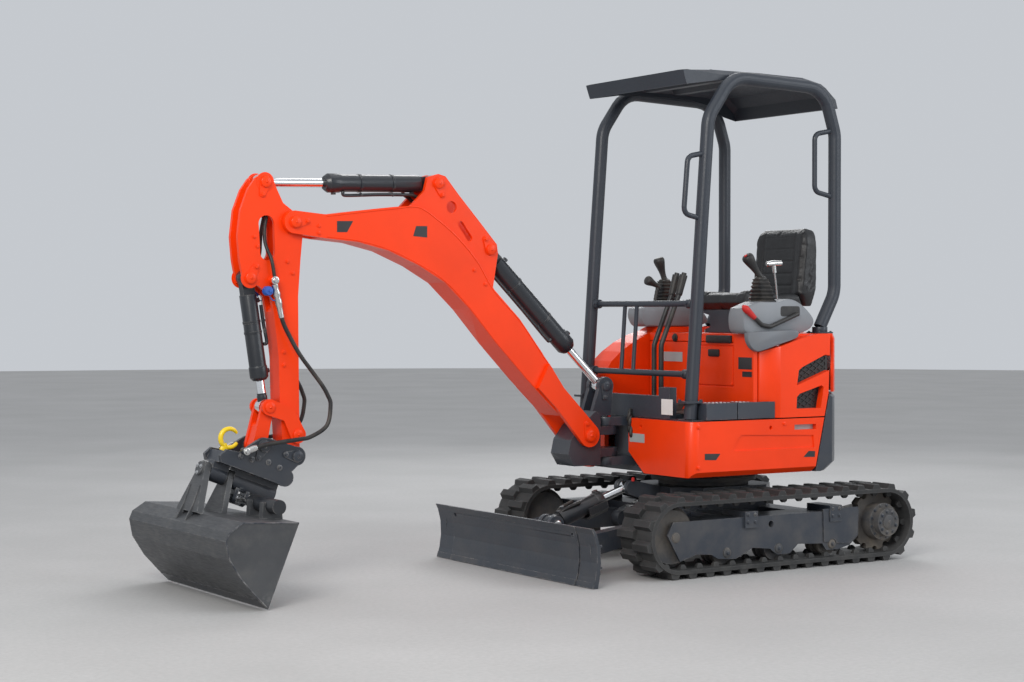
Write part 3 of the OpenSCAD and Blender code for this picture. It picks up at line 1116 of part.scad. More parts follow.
// Oil hoses from the arm's valves to the hitch
hose_r = 9;
hose_sides = 10;
hose_cuts = 2;
hose_arm_shares = [[0.09254, -0.26633], [0.0767, -0.3356], [0.0573, -0.4225], [0.0262, -0.4924], [-0.0143, -0.5677], [-0.0637, -0.6364], [-0.1084, -0.6976], [-0.1329, -0.7433], [-0.1431, -0.7835], [-0.1227, -0.8694]];
hose_hitch_shares = [[-0.29, 0.525], [0.059, 0.461], [0.424, 0.424], [1.02, 0.35], [1.457, 0.222]];
hose_out = [67, 67, 69, 78, 90, 101, 110, 117, 122, 128, 128, 126, 124, 118, 112];
hose_path = [for (i = [0 : len(hose_out) - 1]) let(p = i < len(hose_arm_shares) ? on_arm(hose_arm_shares[i]) : tip_pin + hitch_len * hose_hitch_shares[i - len(hose_arm_shares)]) [p[0], hose_out[i], p[1]]];
function smooth(p, k) = concat([for (i = [0 : len(p) - 2]) for (j = [0 : k - 1]) let(t = j / k, a = p[max(i - 1, 0)], b = p[i], c = p[i + 1], d = p[min(i + 2, len(p) - 1)])
  b + t * (c - a) / 2 + t * t * (a - 2.5 * b + 2 * c - d / 2) + t * t * t * (3 * b - a - 3 * c + d) / 2], [p[len(p) - 1]]);
module hose(p, r, sides) {
  n = len(p);
  ring = [for (i = [0 : n - 1]) let(d = unit(p[min(i + 1, n - 1)] - p[max(i - 1, 0)]), e = unit(cross(d, [0, 1, 0]))) [p[i], e, cross(e, d)]];
  polyhedron(
    points = [for (g = ring) for (j = [0 : sides - 1]) g[0] + r * cos(360 * j / sides) * g[1] + r * sin(360 * j / sides) * g[2]],
    faces = concat([[for (j = [0 : sides - 1]) sides - 1 - j]],
      [for (i = [0 : n - 2]) for (j = [0 : sides - 1]) [i * sides + j, (i + 1) * sides + (j + 1) % sides, (i + 1) * sides + j]],
      [for (i = [0 : n - 2]) for (j = [0 : sides - 1]) [i * sides + j, i * sides + (j + 1) % sides, (i + 1) * sides + (j + 1) % sides]],
      [[for (j = [0 : sides - 1]) (n - 1) * sides + j]]));
}
module hose_left() { color("black") translate([0, boom_y, 0]) hose(smooth(hose_path, hose_cuts), hose_r, hose_sides); }
module hose_right() { color("black") translate([0, boom_y, 0]) mirror([0, 1, 0]) hose(smooth(hose_path, hose_cuts), hose_r, hose_sides); }

// The ditching bucket with its tilt ears and pin
bucket_shares = [[-0.391, 0.951], [0.306, 0.994], [0.474, 0.891], [0.517, 0.791], [0.477, 0.58], [0.326, 0.34], [0.154, 0.154], [0, 0]];
inner_shares = [[-0.5, 0.905], [0.294, 0.954], [0.446, 0.86], [0.48, 0.786], [0.443, 0.591], [0.297, 0.366], [0.129, 0.183], [-0.026, 0.029], [-0.5, 0.029]];
ear_drop = hitch_len * [0.962, 1.139];
far = bucket_w * 0.404;
saddle_w = 32;
tilt_cyl_r = 30;
tilt_rod_r = 13;
function on_bucket(s) = bucket_tip + bucket_h * s;
module bucket() {
  w = bucket_w / 2;
  h = hub_r;
  p = tilt_lug;
  color("slategray") {
    for (y = far * [0.5, 0.8]) slab(boom_y + y - saddle_w / 2, boom_y + y + saddle_w / 2) difference() {
      polygon([p + h * [-1.28, -1.72], p + h * [-1.11, 0.44], p + h * [1.11, 0.44], p + h * [1.28, -1.61]]);
      translate(p) circle(tilt_cyl_r + seat_gap);
    }
    difference() {
      mid(w) polygon([for (s = bucket_shares) on_bucket(s)]);
      mid(w - bucket_side) polygon([for (s = inner_shares) on_bucket(s)]);
    }
    on_tilt() {
      translate([-ear_front, 0, 0]) rotate([0, 90, 0]) linear_extrude(2 * ear_front) { circle(h); polygon([[0, h], [ear_drop[1], h * 2.92], [ear_drop[1], -h * 2.92], [0, -h]]); }
      translate([ear_rear[0], 0, 0]) rotate([0, 90, 0]) linear_extrude(ear_rear[1] - ear_rear[0]) { circle(h); polygon([[0, h], [ear_drop[0], h * 2.5], [ear_drop[0], -h * 2.5], [0, -h]]); }
      tilt_bar(-hub_len, ear_front + head_t, tilt_pin_r);
      tilt_bar(ear_front, ear_front + head_t, tilt_pin_r * 1.5);
    }
  }
}
// The tilt cylinder across the bucket's top
tilt_cyl_len = far * 0.625;
module tilt_cyl_barrel() {
  color("dimgray") difference() {
    union() {
      bar(tilt_lug, tilt_cyl_r, boom_y + far - tilt_cyl_len, boom_y + far);
      bar(tilt_lug, tilt_cyl_r * 0.8, boom_y + far - tilt_cyl_len * 1.04, boom_y + far);
    }
    bar(tilt_lug, tilt_rod_r + pin_gap, boom_y - far, boom_y + far - tilt_cyl_len * 0.1);
  }
}
module tilt_cyl_rod() {
  color("silver") {
    bar(tilt_lug, tilt_rod_r, boom_y, boom_y + far * 0.675);
    translate([tilt_lug[0], boom_y, tilt_lug[1]]) rotate([0, 90 - tilt_deg, 0]) translate([0, 0, -tilt_rod_r * 1.1]) cylinder(r = tilt_eye_r, h = 2.2 * tilt_rod_r);
  }
}

car_body();
slew_ring();
track_frames();
track_left();
track_right();
sprockets();
idlers();
rollers();
blade_plate();
blade_arms();
blade_cyl_barrel();
blade_cyl_rod();
deck_frame();
floor_plate();
skirt_left();
skirt_right();
counterweight();
hood_pin();
quarter_left();
grilles();
tank_cover();
seat_base();
engine_hood();
engine_block();
hoop_left();
hoop_right();
canopy_roof();
lifting_eye();
front_gate();
seat_mount();
seat_cushion();
seat_back();
console_left();
console_right();
joysticks();
lock_lever();
travel_levers();
swing_bracket();
boom();
boom_cyl_barrel();
boom_cyl_rod();
arm();
arm_cyl_barrel();
arm_cyl_rod();
bucket_cyl_barrel();
bucket_cyl_rod();
idler_links();
bucket_link();
coupler();
tilt_lugs();
lifting_hook();
hose_left();
hose_right();
bucket();
tilt_cyl_barrel();
tilt_cyl_rod();
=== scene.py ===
"""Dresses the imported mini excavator: materials, pads, hoses, fasteners, trim and a plain studio."""

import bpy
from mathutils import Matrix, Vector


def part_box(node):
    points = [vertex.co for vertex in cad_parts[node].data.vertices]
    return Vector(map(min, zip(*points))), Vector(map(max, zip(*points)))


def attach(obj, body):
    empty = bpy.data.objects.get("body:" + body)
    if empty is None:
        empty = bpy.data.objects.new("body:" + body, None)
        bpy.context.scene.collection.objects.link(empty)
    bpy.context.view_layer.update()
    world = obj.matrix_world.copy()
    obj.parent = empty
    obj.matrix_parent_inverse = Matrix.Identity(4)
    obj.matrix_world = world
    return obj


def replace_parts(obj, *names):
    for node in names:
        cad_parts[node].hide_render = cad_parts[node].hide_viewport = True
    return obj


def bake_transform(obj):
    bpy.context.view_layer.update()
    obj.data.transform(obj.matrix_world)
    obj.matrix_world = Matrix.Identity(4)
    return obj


bl_info = {
    "name": "Mini excavator finish",
    "version": (1, 0, 0),
    "blender": (4, 5, 0),
    "location": "View3D > Sidebar > Excavator",
    "description": "Materials, soft parts and small fittings for a packed mini excavator",
    "category": "Object",
}

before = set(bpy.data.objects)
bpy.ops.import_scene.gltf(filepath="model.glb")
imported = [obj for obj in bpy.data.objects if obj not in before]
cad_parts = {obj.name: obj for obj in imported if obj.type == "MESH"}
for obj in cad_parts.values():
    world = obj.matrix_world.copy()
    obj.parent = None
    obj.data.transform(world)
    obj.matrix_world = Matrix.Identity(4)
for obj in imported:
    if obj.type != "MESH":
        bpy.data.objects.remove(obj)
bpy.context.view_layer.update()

import math

import bmesh
import bpy
from mathutils import Vector

# Places in metres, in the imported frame
BOOM_Y = -0.07
FOOT = (0.68, 0.6)
LIFT_LUG = (0.558, 0.823)
LIFT_PIN = (1.197, 1.4448)
CROWD_PIN = (1.466, 1.7302)
ELBOW = (2.17, 1.5432)
CROWD_LUG = (2.293, 1.7082)
CURL_PIN = (2.363, 1.3082)
IDLER_PIN = (2.152, 0.6522)
TIP_PIN = (2.169, 0.5652)
LINK_PIN = (2.282, 0.7711)
HITCH_PIN = (2.32, 0.6122)
TILT_PIN = (2.552, 0.5202)
TILT_DEG = 21.0
PIN_R = 0.024
# Half widths of the boom, the arm and the house
BOOM_HALF = 0.075
ARM_HALF = 0.045
HOUSE_HALF = 0.495
# Lengths that the outlines of the boom and the bucket are given in
BOOM_SPAN = 1.49
BUCKET_SPAN = 0.35
# The front of the seat base
SEAT_FRONT_X = 0.07
# The track's end wheels: distance from the middle, the belt's inner radius, height
WHEEL_X, BELT_R, AXLE_Z = 0.615, 0.14, 0.18
# The short hoses' radius beside that of the long ones
THIN = 0.85
SIDES = (1, -1)
UP, AHEAD = (0, 0, 1), (1, 0, 0)
TURN = 2 * math.pi
# The hoses' route: X, distance from the boom's plane, Z
HOSE = (
    (2.2605, 0.067, 1.2827), (2.24501, 0.067, 1.21495), (2.22604, 0.069, 1.12997), (2.19562, 0.078, 1.0616),
    (2.15601, 0.09, 0.98796), (2.1077, 0.101, 0.92077), (2.06398, 0.11, 0.86092), (2.04002, 0.117, 0.81622),
    (2.03005, 0.122, 0.77691), (2.05, 0.128, 0.6929), (2.1232, 0.128, 0.64812), (2.17834, 0.126, 0.63801),
    (2.23601, 0.124, 0.63216), (2.33018, 0.118, 0.62047), (2.39923, 0.112, 0.60025),
)


def beside(p, out=0.0):
    """A place in X and Z, out to the left of the boom's plane."""
    return Vector((p[0], BOOM_Y + out, p[1]))


# Materials


class Shader:
    """A material being built from nodes."""

    def __init__(self, name):
        self.mat = bpy.data.materials.new(name)
        self.mat.use_nodes = True
        self.tree = self.mat.node_tree
        self.bsdf = self.tree.nodes["Principled BSDF"]
        self.where = self.add("ShaderNodeTexCoord").outputs["Object"]

    def feed(self, socket, value):
        """Links a node's output to a socket, or sets the socket's own value."""
        if isinstance(value, bpy.types.NodeSocket):
            self.tree.links.new(value, socket)
        else:
            socket.default_value = rgba(value) if socket.type == "RGBA" else value

    def add(self, kind, settings=None, **values):
        """A new node. Its inputs go by name, or by number as i0, i1 and so on."""
        node = self.tree.nodes.new(kind)
        for key, value in (settings or {}).items():
            setattr(node, key, value)
        for key, value in values.items():
            numbered = key[0] == "i" and key[1:].isdigit()
            self.feed(node.inputs[int(key[1:]) if numbered else key], value)
        return node

    def noise(self, scale, detail=3.0, rough=0.55, stretch=None):
        where = self.where
        if stretch:
            where = self.add("ShaderNodeMapping", Vector=self.where, Scale=stretch).outputs[0]
        return self.add("ShaderNodeTexNoise", Vector=where, Scale=scale, Detail=detail, Roughness=rough).outputs[0]

    def ramp(self, value, a, b, lo=0.0, hi=1.0):
        ends = {"Value": value, "From Min": a, "From Max": b, "To Min": lo, "To Max": hi}
        return self.add("ShaderNodeMapRange", {"clamp": True}, **ends).outputs[0]

    def math(self, kind, a, b=0.0):
        return self.add("ShaderNodeMath", {"operation": kind}, i0=a, i1=b).outputs[0]

    def mix(self, factor, a, b):
        return self.add("ShaderNodeMix", {"data_type": "RGBA"}, i0=factor, i6=a, i7=b).outputs[2]

    def edges(self, radius):
        """1 along edges, 0 on flats."""
        soft = self.add("ShaderNodeBevel", {"samples": 4}, Radius=radius).outputs[0]
        hard = self.add("ShaderNodeNewGeometry").outputs["Normal"]
        same = self.add("ShaderNodeVectorMath", {"operation": "DOT_PRODUCT"}, i0=soft, i1=hard).outputs["Value"]
        return self.ramp(same, 0.995, 0.9)

    def facing_up(self):
        normal = self.add("ShaderNodeNewGeometry").outputs["Normal"]
        return self.add("ShaderNodeSeparateXYZ", Vector=normal).outputs[2]

    def height(self):
        return self.add("ShaderNodeSeparateXYZ", Vector=self.where).outputs[2]

    def set(self, **values):
        for key, value in values.items():
            self.feed(self.bsdf.inputs[key.replace("_", " ")], value)

    def bump(self, height, strength, distance):
        node = self.add("ShaderNodeBump", Height=height, Strength=strength, Distance=distance)
        self.tree.links.new(node.outputs[0], self.bsdf.inputs["Normal"])


def rgba(c):
    return (c[0], c[1], c[2], 1.0)


def shade(c, k):
    return tuple(min(1.0, x * k) for x in c[:3])


DUST = (0.3, 0.25, 0.19)


def coated(
    name, colour, rough=0.32, coat=0.35, dust=0.25, worn=0.0,
    under=(0.22, 0.21, 0.2), peel=0.04, radius=0.006, shine=0.5,
):
    """Sprayed paint with tone drift, dust that settles low and on top, and rubbed edges."""
    s = Shader(name)
    tone = s.ramp(s.noise(2.3, 4.0), 0.32, 0.68)
    fine = s.noise(110.0, 4.0)
    blotch = s.noise(7.0, 6.0, 0.62)
    low = s.ramp(s.height(), 0.75, 0.05)
    up = s.ramp(s.facing_up(), 0.2, 0.95, 0.15, 0.8)
    film = s.math("MULTIPLY", s.math("ADD", low, up), s.ramp(blotch, 0.4, 0.72))
    film = s.math("MINIMUM", s.math("MULTIPLY", film, dust), 0.85)
    base = s.mix(tone, shade(colour, 0.9), shade(colour, 1.07))
    if worn > 0.0:
        chips = s.ramp(s.noise(26.0, 6.0, 0.7), 0.5 - 0.2 * worn, 0.66)
        scuff = s.math("MULTIPLY", s.edges(radius), chips)
        spots = s.ramp(s.noise(16.0, 8.0, 0.75), 0.7 - 0.09 * worn, 0.74 - 0.07 * worn)
        spots = s.math("MULTIPLY", spots, min(1.0, worn))
        bare = s.math("MINIMUM", s.math("ADD", scuff, spots), 1.0)
        base = s.mix(bare, base, under)
    base = s.mix(film, base, DUST)
    grain = s.ramp(fine, 0.3, 0.7, rough - 0.05, rough + 0.09)
    grain = s.math("ADD", grain, s.math("MULTIPLY", film, 0.5))
    s.set(Base_Color=base, Roughness=s.math("MINIMUM", grain, 0.95))
    s.set(Coat_Weight=coat, Coat_Roughness=0.12, Specular_IOR_Level=shine)
    if worn > 0.0:
        s.set(Metallic=s.math("MULTIPLY", bare, 0.55))
    s.bump(s.noise(420.0, 2.0), peel, 0.0008)
    return s.mat


def metal(name, colour, rough=0.3, streak=(1.0, 1.0, 1.0), grime=0.3, bump=0.05):
    """Bare metal, brushed along an axis, with oily grime."""
    s = Shader(name)
    lines = s.noise(160.0, 3.0, 0.6, streak)
    grime_f = s.math("MULTIPLY", s.ramp(s.noise(9.0, 6.0, 0.65), 0.48, 0.75), grime)
    base = s.mix(s.ramp(lines, 0.3, 0.7), shade(colour, 0.86), shade(colour, 1.06))
    s.set(Base_Color=s.mix(grime_f, base, (0.1, 0.085, 0.07)), Metallic=s.ramp(grime_f, 0.0, 0.6, 1.0, 0.35))
    grain = s.ramp(lines, 0.3, 0.7, rough - 0.06, rough + 0.08)
    s.set(Roughness=s.math("ADD", grain, s.math("MULTIPLY", grime_f, 0.4)))
    s.bump(lines, bump, 0.0006)
    return s.mat


def moulded(name, colour, rough=0.55, grain=260.0, depth=0.12, dust=0.2):
    """Moulded rubber or plastic with a fine grain and settled dust."""
    s = Shader(name)
    tone = s.ramp(s.noise(4.0, 4.0), 0.3, 0.7)
    settled = s.ramp(s.facing_up(), -0.4, 0.9, dust * 0.5, dust)
    film = s.math("MULTIPLY", s.ramp(s.noise(11.0, 6.0, 0.62), 0.42, 0.72), settled)
    base = s.mix(tone, shade(colour, 0.88), shade(colour, 1.1))
    s.set(Base_Color=s.mix(film, base, DUST), Roughness=s.ramp(film, 0.0, 0.5, rough, min(0.95, rough + 0.2)))
    cells = s.add("ShaderNodeTexVoronoi", Vector=s.where, Scale=grain).outputs[0]
    s.bump(cells, depth, 0.0008)
    return s.mat


def track_rubber(name):
    """Track rubber: dark in the grooves, grey and dusty on the tread and low on the loop."""
    s = Shader(name)
    blotch = s.ramp(s.noise(13.0, 6.0, 0.65), 0.38, 0.7)
    rub = s.math("MULTIPLY", s.edges(0.009), s.ramp(s.noise(34.0, 5.0), 0.36, 0.62))
    film = s.math("MULTIPLY", blotch, s.ramp(s.height(), 0.34, 0.02, 0.08, 0.34))
    base = s.mix(s.ramp(s.noise(3.0, 3.0), 0.3, 0.7), (0.016, 0.017, 0.018), (0.032, 0.032, 0.033))
    base = s.mix(s.math("MULTIPLY", rub, 0.5), base, (0.1, 0.1, 0.1))
    s.set(Base_Color=s.mix(film, base, (0.13, 0.125, 0.117)), Roughness=s.ramp(blotch, 0.0, 1.0, 0.62, 0.88))
    s.bump(s.noise(190.0, 5.0, 0.7), 0.35, 0.0012)
    return s.mat


def worn_shell(name):
    """A little used bucket: dark grey paint with faint scratches, rubbed along the edges and low down."""
    s = Shader(name)
    big = s.ramp(s.noise(4.0, 5.0, 0.6), 0.34, 0.66)
    haze = s.ramp(s.noise(15.0, 7.0, 0.68), 0.46, 0.72)
    edge = s.math("MULTIPLY", s.edges(0.007), s.ramp(s.noise(30.0, 6.0, 0.7), 0.44, 0.62))
    low = s.math("MULTIPLY", s.ramp(s.height(), 0.075, 0.008), s.ramp(s.noise(16.0, 7.0, 0.7), 0.44, 0.64))
    bare = s.math("MULTIPLY", s.math("MINIMUM", s.math("ADD", edge, low), 1.0), 0.6)
    base = s.mix(big, (0.042, 0.045, 0.05), (0.062, 0.065, 0.07))
    base = s.mix(s.math("MULTIPLY", haze, 0.3), base, (0.125, 0.12, 0.112))
    scratch = s.noise(70.0, 4.0, 0.6, (1.0, 0.25, 3.0))
    s.set(Base_Color=s.mix(bare, base, (0.34, 0.335, 0.33)), Metallic=s.math("MULTIPLY", bare, 0.8))
    s.set(Roughness=s.ramp(scratch, 0.3, 0.7, 0.4, 0.6))
    s.bump(s.math("ADD", scratch, s.noise(240.0, 4.0)), 0.12, 0.0012)
    return s.mat


def hide(name, colour):
    """Coated seat cloth with a fine leather grain."""
    s = Shader(name)
    pattern = {"feature": "DISTANCE_TO_EDGE"}
    cells = s.add("ShaderNodeTexVoronoi", pattern, Vector=s.where, Scale=430.0).outputs[0]
    tone = s.ramp(s.noise(9.0, 4.0), 0.3, 0.7)
    rub = s.math("MULTIPLY", s.ramp(s.noise(26.0, 5.0), 0.45, 0.7), 0.35)
    base = s.mix(tone, shade(colour, 0.8), shade(colour, 1.25))
    s.set(Base_Color=s.mix(rub, base, shade(colour, 2.4)), Roughness=s.ramp(s.noise(60.0), 0.3, 0.7, 0.36, 0.5))
    s.set(Coat_Weight=0.05, Coat_Roughness=0.3)
    s.bump(s.ramp(cells, 0.0, 0.12), 0.22, 0.0006)
    return s.mat


def make_materials(cfg):
    """Every finish by its name. The rows are in the order of the makers' arguments."""
    m = {
        "paint_orange": coated("paint_orange", cfg.orange, 0.34, 0.12, 0.02, shine=0.25),
        "bucket_shell": worn_shell("bucket_shell"),
        "rubber": track_rubber("track_rubber"),
        "chrome": metal("chrome_rod", (0.83, 0.84, 0.85), 0.09, (1.0, 8.0, 1.0), 0.12, 0.02),
        "steel": metal("zinc_steel", (0.56, 0.57, 0.58), 0.32, (1.0, 1.0, 4.0), 0.35),
        "bright": metal("bright_steel", (0.66, 0.66, 0.65), 0.26, (3.0, 1.0, 1.0), 0.25),
        "vinyl": hide("seat_vinyl", (0.011, 0.0115, 0.013)),
    }
    for name, tone, *look in (
        ("paint_dark", 1.0, 0.38, 0.2, 0.12, 0.1),
        ("blade_dark", 0.95, 0.4, 0.15, 0.08, 0.22, (0.28, 0.27, 0.26), 0.05),
        ("frame_dark", 1.02, 0.4, 0.15, 0.14, 0.15),
        ("hitch_dark", 0.92, 0.4, 0.15, 0.12, 0.3, (0.34, 0.33, 0.32)),
        ("canopy_dark", 0.95, 0.46, 0.08, 0.06),
        ("cylinder_black", 0.45, 0.36, 0.25, 0.08, 0.12),
        ("floor_dark", 1.15, 0.46, 0.05, 0.2, 0.2),
    ):
        m[name] = coated(name, shade(cfg.dark, tone), *look)
    for name, colour, *look in (
        ("cast_iron", (0.055, 0.056, 0.06), 0.58, 0.0, 0.45, 0.45, (0.24, 0.23, 0.22), 0.12),
        ("paint_yellow", (0.86, 0.6, 0.006), 0.34, 0.3, 0.06, 0.12),
        ("mark_black", (0.02, 0.02, 0.022), 0.34, 0.2, 0.1),
        ("label_white", (0.72, 0.72, 0.7), 0.4, 0.2, 0.22),
        ("reflector", (0.4, 0.43, 0.43), 0.34, 0.2, 0.1),
    ):
        m[name] = coated(name, colour, *look)
    for name, colour, *look in (
        ("hose_rubber", (0.012, 0.012, 0.013), 0.46, 520.0, 0.1, 0.22),
        ("mat_rubber", (0.022, 0.022, 0.023), 0.62, 150.0, 0.25, 0.5),
        ("plastic_grey", (0.15, 0.162, 0.18), 0.5, 330.0, 0.1, 0.12),
        ("plastic_light", (0.205, 0.22, 0.24), 0.46, 330.0, 0.1, 0.08),
        ("plastic_black", (0.018, 0.018, 0.019), 0.48, 330.0, 0.12, 0.15),
        ("cap_red", (0.55, 0.015, 0.012), 0.42, 300.0, 0.05, 0.1),
        ("cap_blue", (0.02, 0.1, 0.45), 0.42, 300.0, 0.05, 0.1),
    ):
        m[name] = moulded(name, colour, *look)
    return m


NODE_FINISH = {
    "paint_orange": "skirt_left skirt_right quarter_left tank_cover seat_base engine_hood boom arm "
    "idler_links bucket_link",
    "paint_dark": "counterweight deck_frame swing_bracket seat_mount car_body",
    "frame_dark": "track_frames blade_arms",
    "blade_dark": "blade_plate",
    "hitch_dark": "coupler tilt_lugs",
    "canopy_dark": "hoop_left hoop_right canopy_roof lifting_eye front_gate",
    "cylinder_black": "boom_cyl_barrel arm_cyl_barrel bucket_cyl_barrel blade_cyl_barrel tilt_cyl_barrel",
    "chrome": "boom_cyl_rod arm_cyl_rod bucket_cyl_rod blade_cyl_rod tilt_cyl_rod",
    "floor_dark": "floor_plate",
    "bucket_shell": "bucket",
    "rubber": "track_left track_right",
    "cast_iron": "sprockets idlers rollers slew_ring engine_block",
    "steel": "hood_pin",
    "hose_rubber": "hose_left hose_right",
    "plastic_light": "console_left console_right",
    "plastic_black": "joysticks grilles travel_levers lock_lever",
    "paint_yellow": "lifting_hook",
    "vinyl": "seat_cushion seat_back",
}
# Steeper folds than this stay sharp under smooth shading
SHARP_DEG = 38.0
MATS = {}


# Mesh tools


class Kit:
    """Collects the small parts of one material on one body into one mesh piece."""

    def __init__(self, name, body, finish):
        self.name, self.body, self.finish = name, body, finish
        self.bm = bmesh.new()

    def grid(self, rings, close=True, caps=True):
        """Skins rings of points; each ring has the same count."""
        bm = self.bm
        rows = [[bm.verts.new(p) for p in ring] for ring in rings]
        n = len(rows[0])
        for a, b in zip(rows, rows[1:]):
            for i in range(n if close else n - 1):
                j = (i + 1) % n
                bm.faces.new((a[i], a[j], b[j], b[i]))
        if caps:
            bm.faces.new(list(reversed(rows[0])))
            bm.faces.new(rows[-1])

    def lathe(self, at, axis, profile, n=24, caps=True):
        """Turns a profile of (radius, height) pairs about an axis from a point."""
        at = Vector(at)
        turn = Vector(UP).rotation_difference(Vector(axis)).to_matrix()
        rings = []
        for r, h in profile:
            spots = ((r * math.cos(TURN * i / n), r * math.sin(TURN * i / n), h) for i in range(n))
            rings.append([at + turn @ Vector(p) for p in spots])
        self.grid(rings, True, caps)

    def band(self, at, axis, r, t, wide, n=36):
        """A flat ring about a barrel, open in its middle."""
        low, high, lip = r - 0.001, r + t, 0.001
        self.lathe(at, axis, [(low, 0), (high, lip), (high, wide - lip), (low, wide), (low, 0)], n, False)
        bmesh.ops.remove_doubles(self.bm, verts=self.bm.verts[:], dist=1e-6)

    def bolt(self, at, axis, r=0.01, tall=0.8):
        """A washer, a hexagon head and its chamfer."""
        h = r * tall
        self.lathe(at, axis, [(r * 1.45, -0.001), (r * 1.45, r * 0.18), (r * 1.35, r * 0.24)], 20)
        self.lathe(at, axis, [(r, r * 0.2), (r * 1.02, h * 0.85), (r * 0.86, h + r * 0.2)], 6)

    def pin_head(self, at, axis, r, t):
        """A domed pin end with a grease point in its middle."""
        dome = [(r, -0.001), (r, t * 0.7), (r * 0.9, t), (r * 0.3, t * 1.05), (r * 0.26, t * 1.3), (r * 0.14, t * 1.7)]
        self.lathe(at, axis, dome, 28)

    def slab(self, outline, y0, y1):
        """An outline in X and Z, thick along Y."""
        self.grid([[Vector((x, y, z)) for x, z in outline] for y in (y0, y1)])

    def panel(self, x, y0, y1, z0, z1, t):
        """A thin plate that faces forward."""
        corners = ((y0, z0), (y1, z0), (y1, z1), (y0, z1))
        self.grid([[Vector((a, y, z)) for y, z in corners] for a in (x, x + t)])

    def knob(self, y, z, sections):
        """A raised piece that faces forward, from sections of X, width, height and corner radius."""
        self.grid([[Vector((x, b, c)) for b, c in rounded(y, z, w, h, r)] for x, w, h, r in sections])

    def pad(self, x, y, w, h, r, levels, shrink=(0.0, 0.0)):
        """A flat pad with round corners. Each level above the first is smaller by shrink."""
        self.grid([
            [Vector((a, b, z)) for a, b in rounded(x, y, w - shrink[0] * k, h - shrink[1] * k, r)]
            for k, z in enumerate(levels)
        ])

    def rod(self, points, r, n=10, smooth=4):
        """A round bar or hose through points, with its ends closed."""
        path = spline(points, smooth) if smooth > 1 else [Vector(p) for p in points]
        self.grid(tube_rings(path, r, n))

    def mesh(self, flat=False):
        """The collected mesh as an object with its material."""
        bm = self.bm
        bmesh.ops.recalc_face_normals(bm, faces=bm.faces)
        mesh = bpy.data.meshes.new(self.name)
        bm.to_mesh(mesh)
        bm.free()
        obj = bpy.data.objects.new(self.name, mesh)
        bpy.context.scene.collection.objects.link(obj)
        dress(obj, self.finish, flat)
        return obj

    def done(self, bevel=0.0, flat=False):
        obj = self.mesh(flat)
        finish_piece(obj, self.body, bevel)
        return obj


def dress(obj, finish, flat=False):
    obj.data.materials.clear()
    obj.data.materials.append(MATS[finish])
    if not flat:
        for p in obj.data.polygons:
            p.use_smooth = True
        obj.data.set_sharp_from_angle(angle=math.radians(SHARP_DEG))


def finish_piece(obj, body, bevel=0.0):
    if bevel:
        mod = obj.modifiers.new("soft edge", "BEVEL")
        mod.width, mod.segments, mod.limit_method = bevel, 2, "ANGLE"
        mod.angle_limit = math.radians(35)
        mod.harden_normals = True
    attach(obj, body)


def spline(points, steps):
    """A smooth curve through points."""
    p = [Vector(q) for q in points]
    p = [p[0] * 2 - p[1]] + p + [p[-1] * 2 - p[-2]]
    out = []
    for i in range(1, len(p) - 2):
        a, b, c, d = p[i - 1 : i + 3]
        for k in range(steps):
            t = k / steps
            square, cube = 2 * a - 5 * b + 4 * c - d, 3 * b - a - 3 * c + d
            out.append(0.5 * (2 * b + (c - a) * t + square * t * t + cube * t * t * t))
    return out + [p[-2]]


def tube_rings(path, r, n):
    """Rings round a path, carried along without twist. r is one radius or one for each point."""
    radii = r if isinstance(r, list) else [r] * len(path)
    d0 = (path[1] - path[0]).normalized()
    side = d0.orthogonal().normalized()
    rings, last = [], d0
    for i, p in enumerate(path):
        d = (path[min(i + 1, len(path) - 1)] - path[max(i - 1, 0)]).normalized()
        side = (last.rotation_difference(d) @ side).normalized()
        last = d
        up = d.cross(side)
        ways = ((math.cos(TURN * k / n), math.sin(TURN * k / n)) for k in range(n))
        rings.append([p + radii[i] * (c * side + s * up) for c, s in ways])
    return rings


def rounded(x, y, w, h, r, k=4):
    """A rectangle with round corners about a middle."""
    out = []
    cx, cy = w / 2 - r, h / 2 - r
    for i, (sx, sy) in enumerate(((1, 1), (-1, 1), (-1, -1), (1, -1))):
        for j in range(k + 1):
            t = math.radians(90 * i + 90 * j / k)
            out.append((x + sx * cx + r * math.cos(t), y + sy * cy + r * math.sin(t)))
    return out


def along(a, b, t, off=0.0):
    """A place between two pins in X and Z, moved square to the line."""
    dx, dz = b[0] - a[0], b[1] - a[1]
    d = math.hypot(dx, dz)
    return (a[0] + dx * t - dz / d * off, a[1] + dz * t + dx / d * off)


# Settings


class ExcavatorLook(bpy.types.PropertyGroup):
    """Colours, soft edges, pads, hoses and the lens"""

    orange: bpy.props.FloatVectorProperty(name="Paint", subtype="COLOR", size=3, default=(0.9, 0.048, 0.002))
    dark: bpy.props.FloatVectorProperty(name="Dark paint", subtype="COLOR", size=3, default=(0.027, 0.034, 0.047))
    edge_soft: bpy.props.FloatProperty(name="Soft edge", default=0.0022, min=0.0, max=0.01, unit="LENGTH")
    pad_cap: bpy.props.FloatProperty(name="Pad swell", default=0.01, min=0.0, max=0.03, unit="LENGTH")
    pad_voxel: bpy.props.FloatProperty(name="Pad voxel", default=0.006, min=0.003, max=0.02, unit="LENGTH")
    hose_r: bpy.props.FloatProperty(name="Hose radius", default=0.009, min=0.004, max=0.02, unit="LENGTH")
    lens: bpy.props.FloatProperty(name="Lens", default=68.08, min=20.0, max=200.0)


def settings():
    return bpy.context.scene.excavator_look


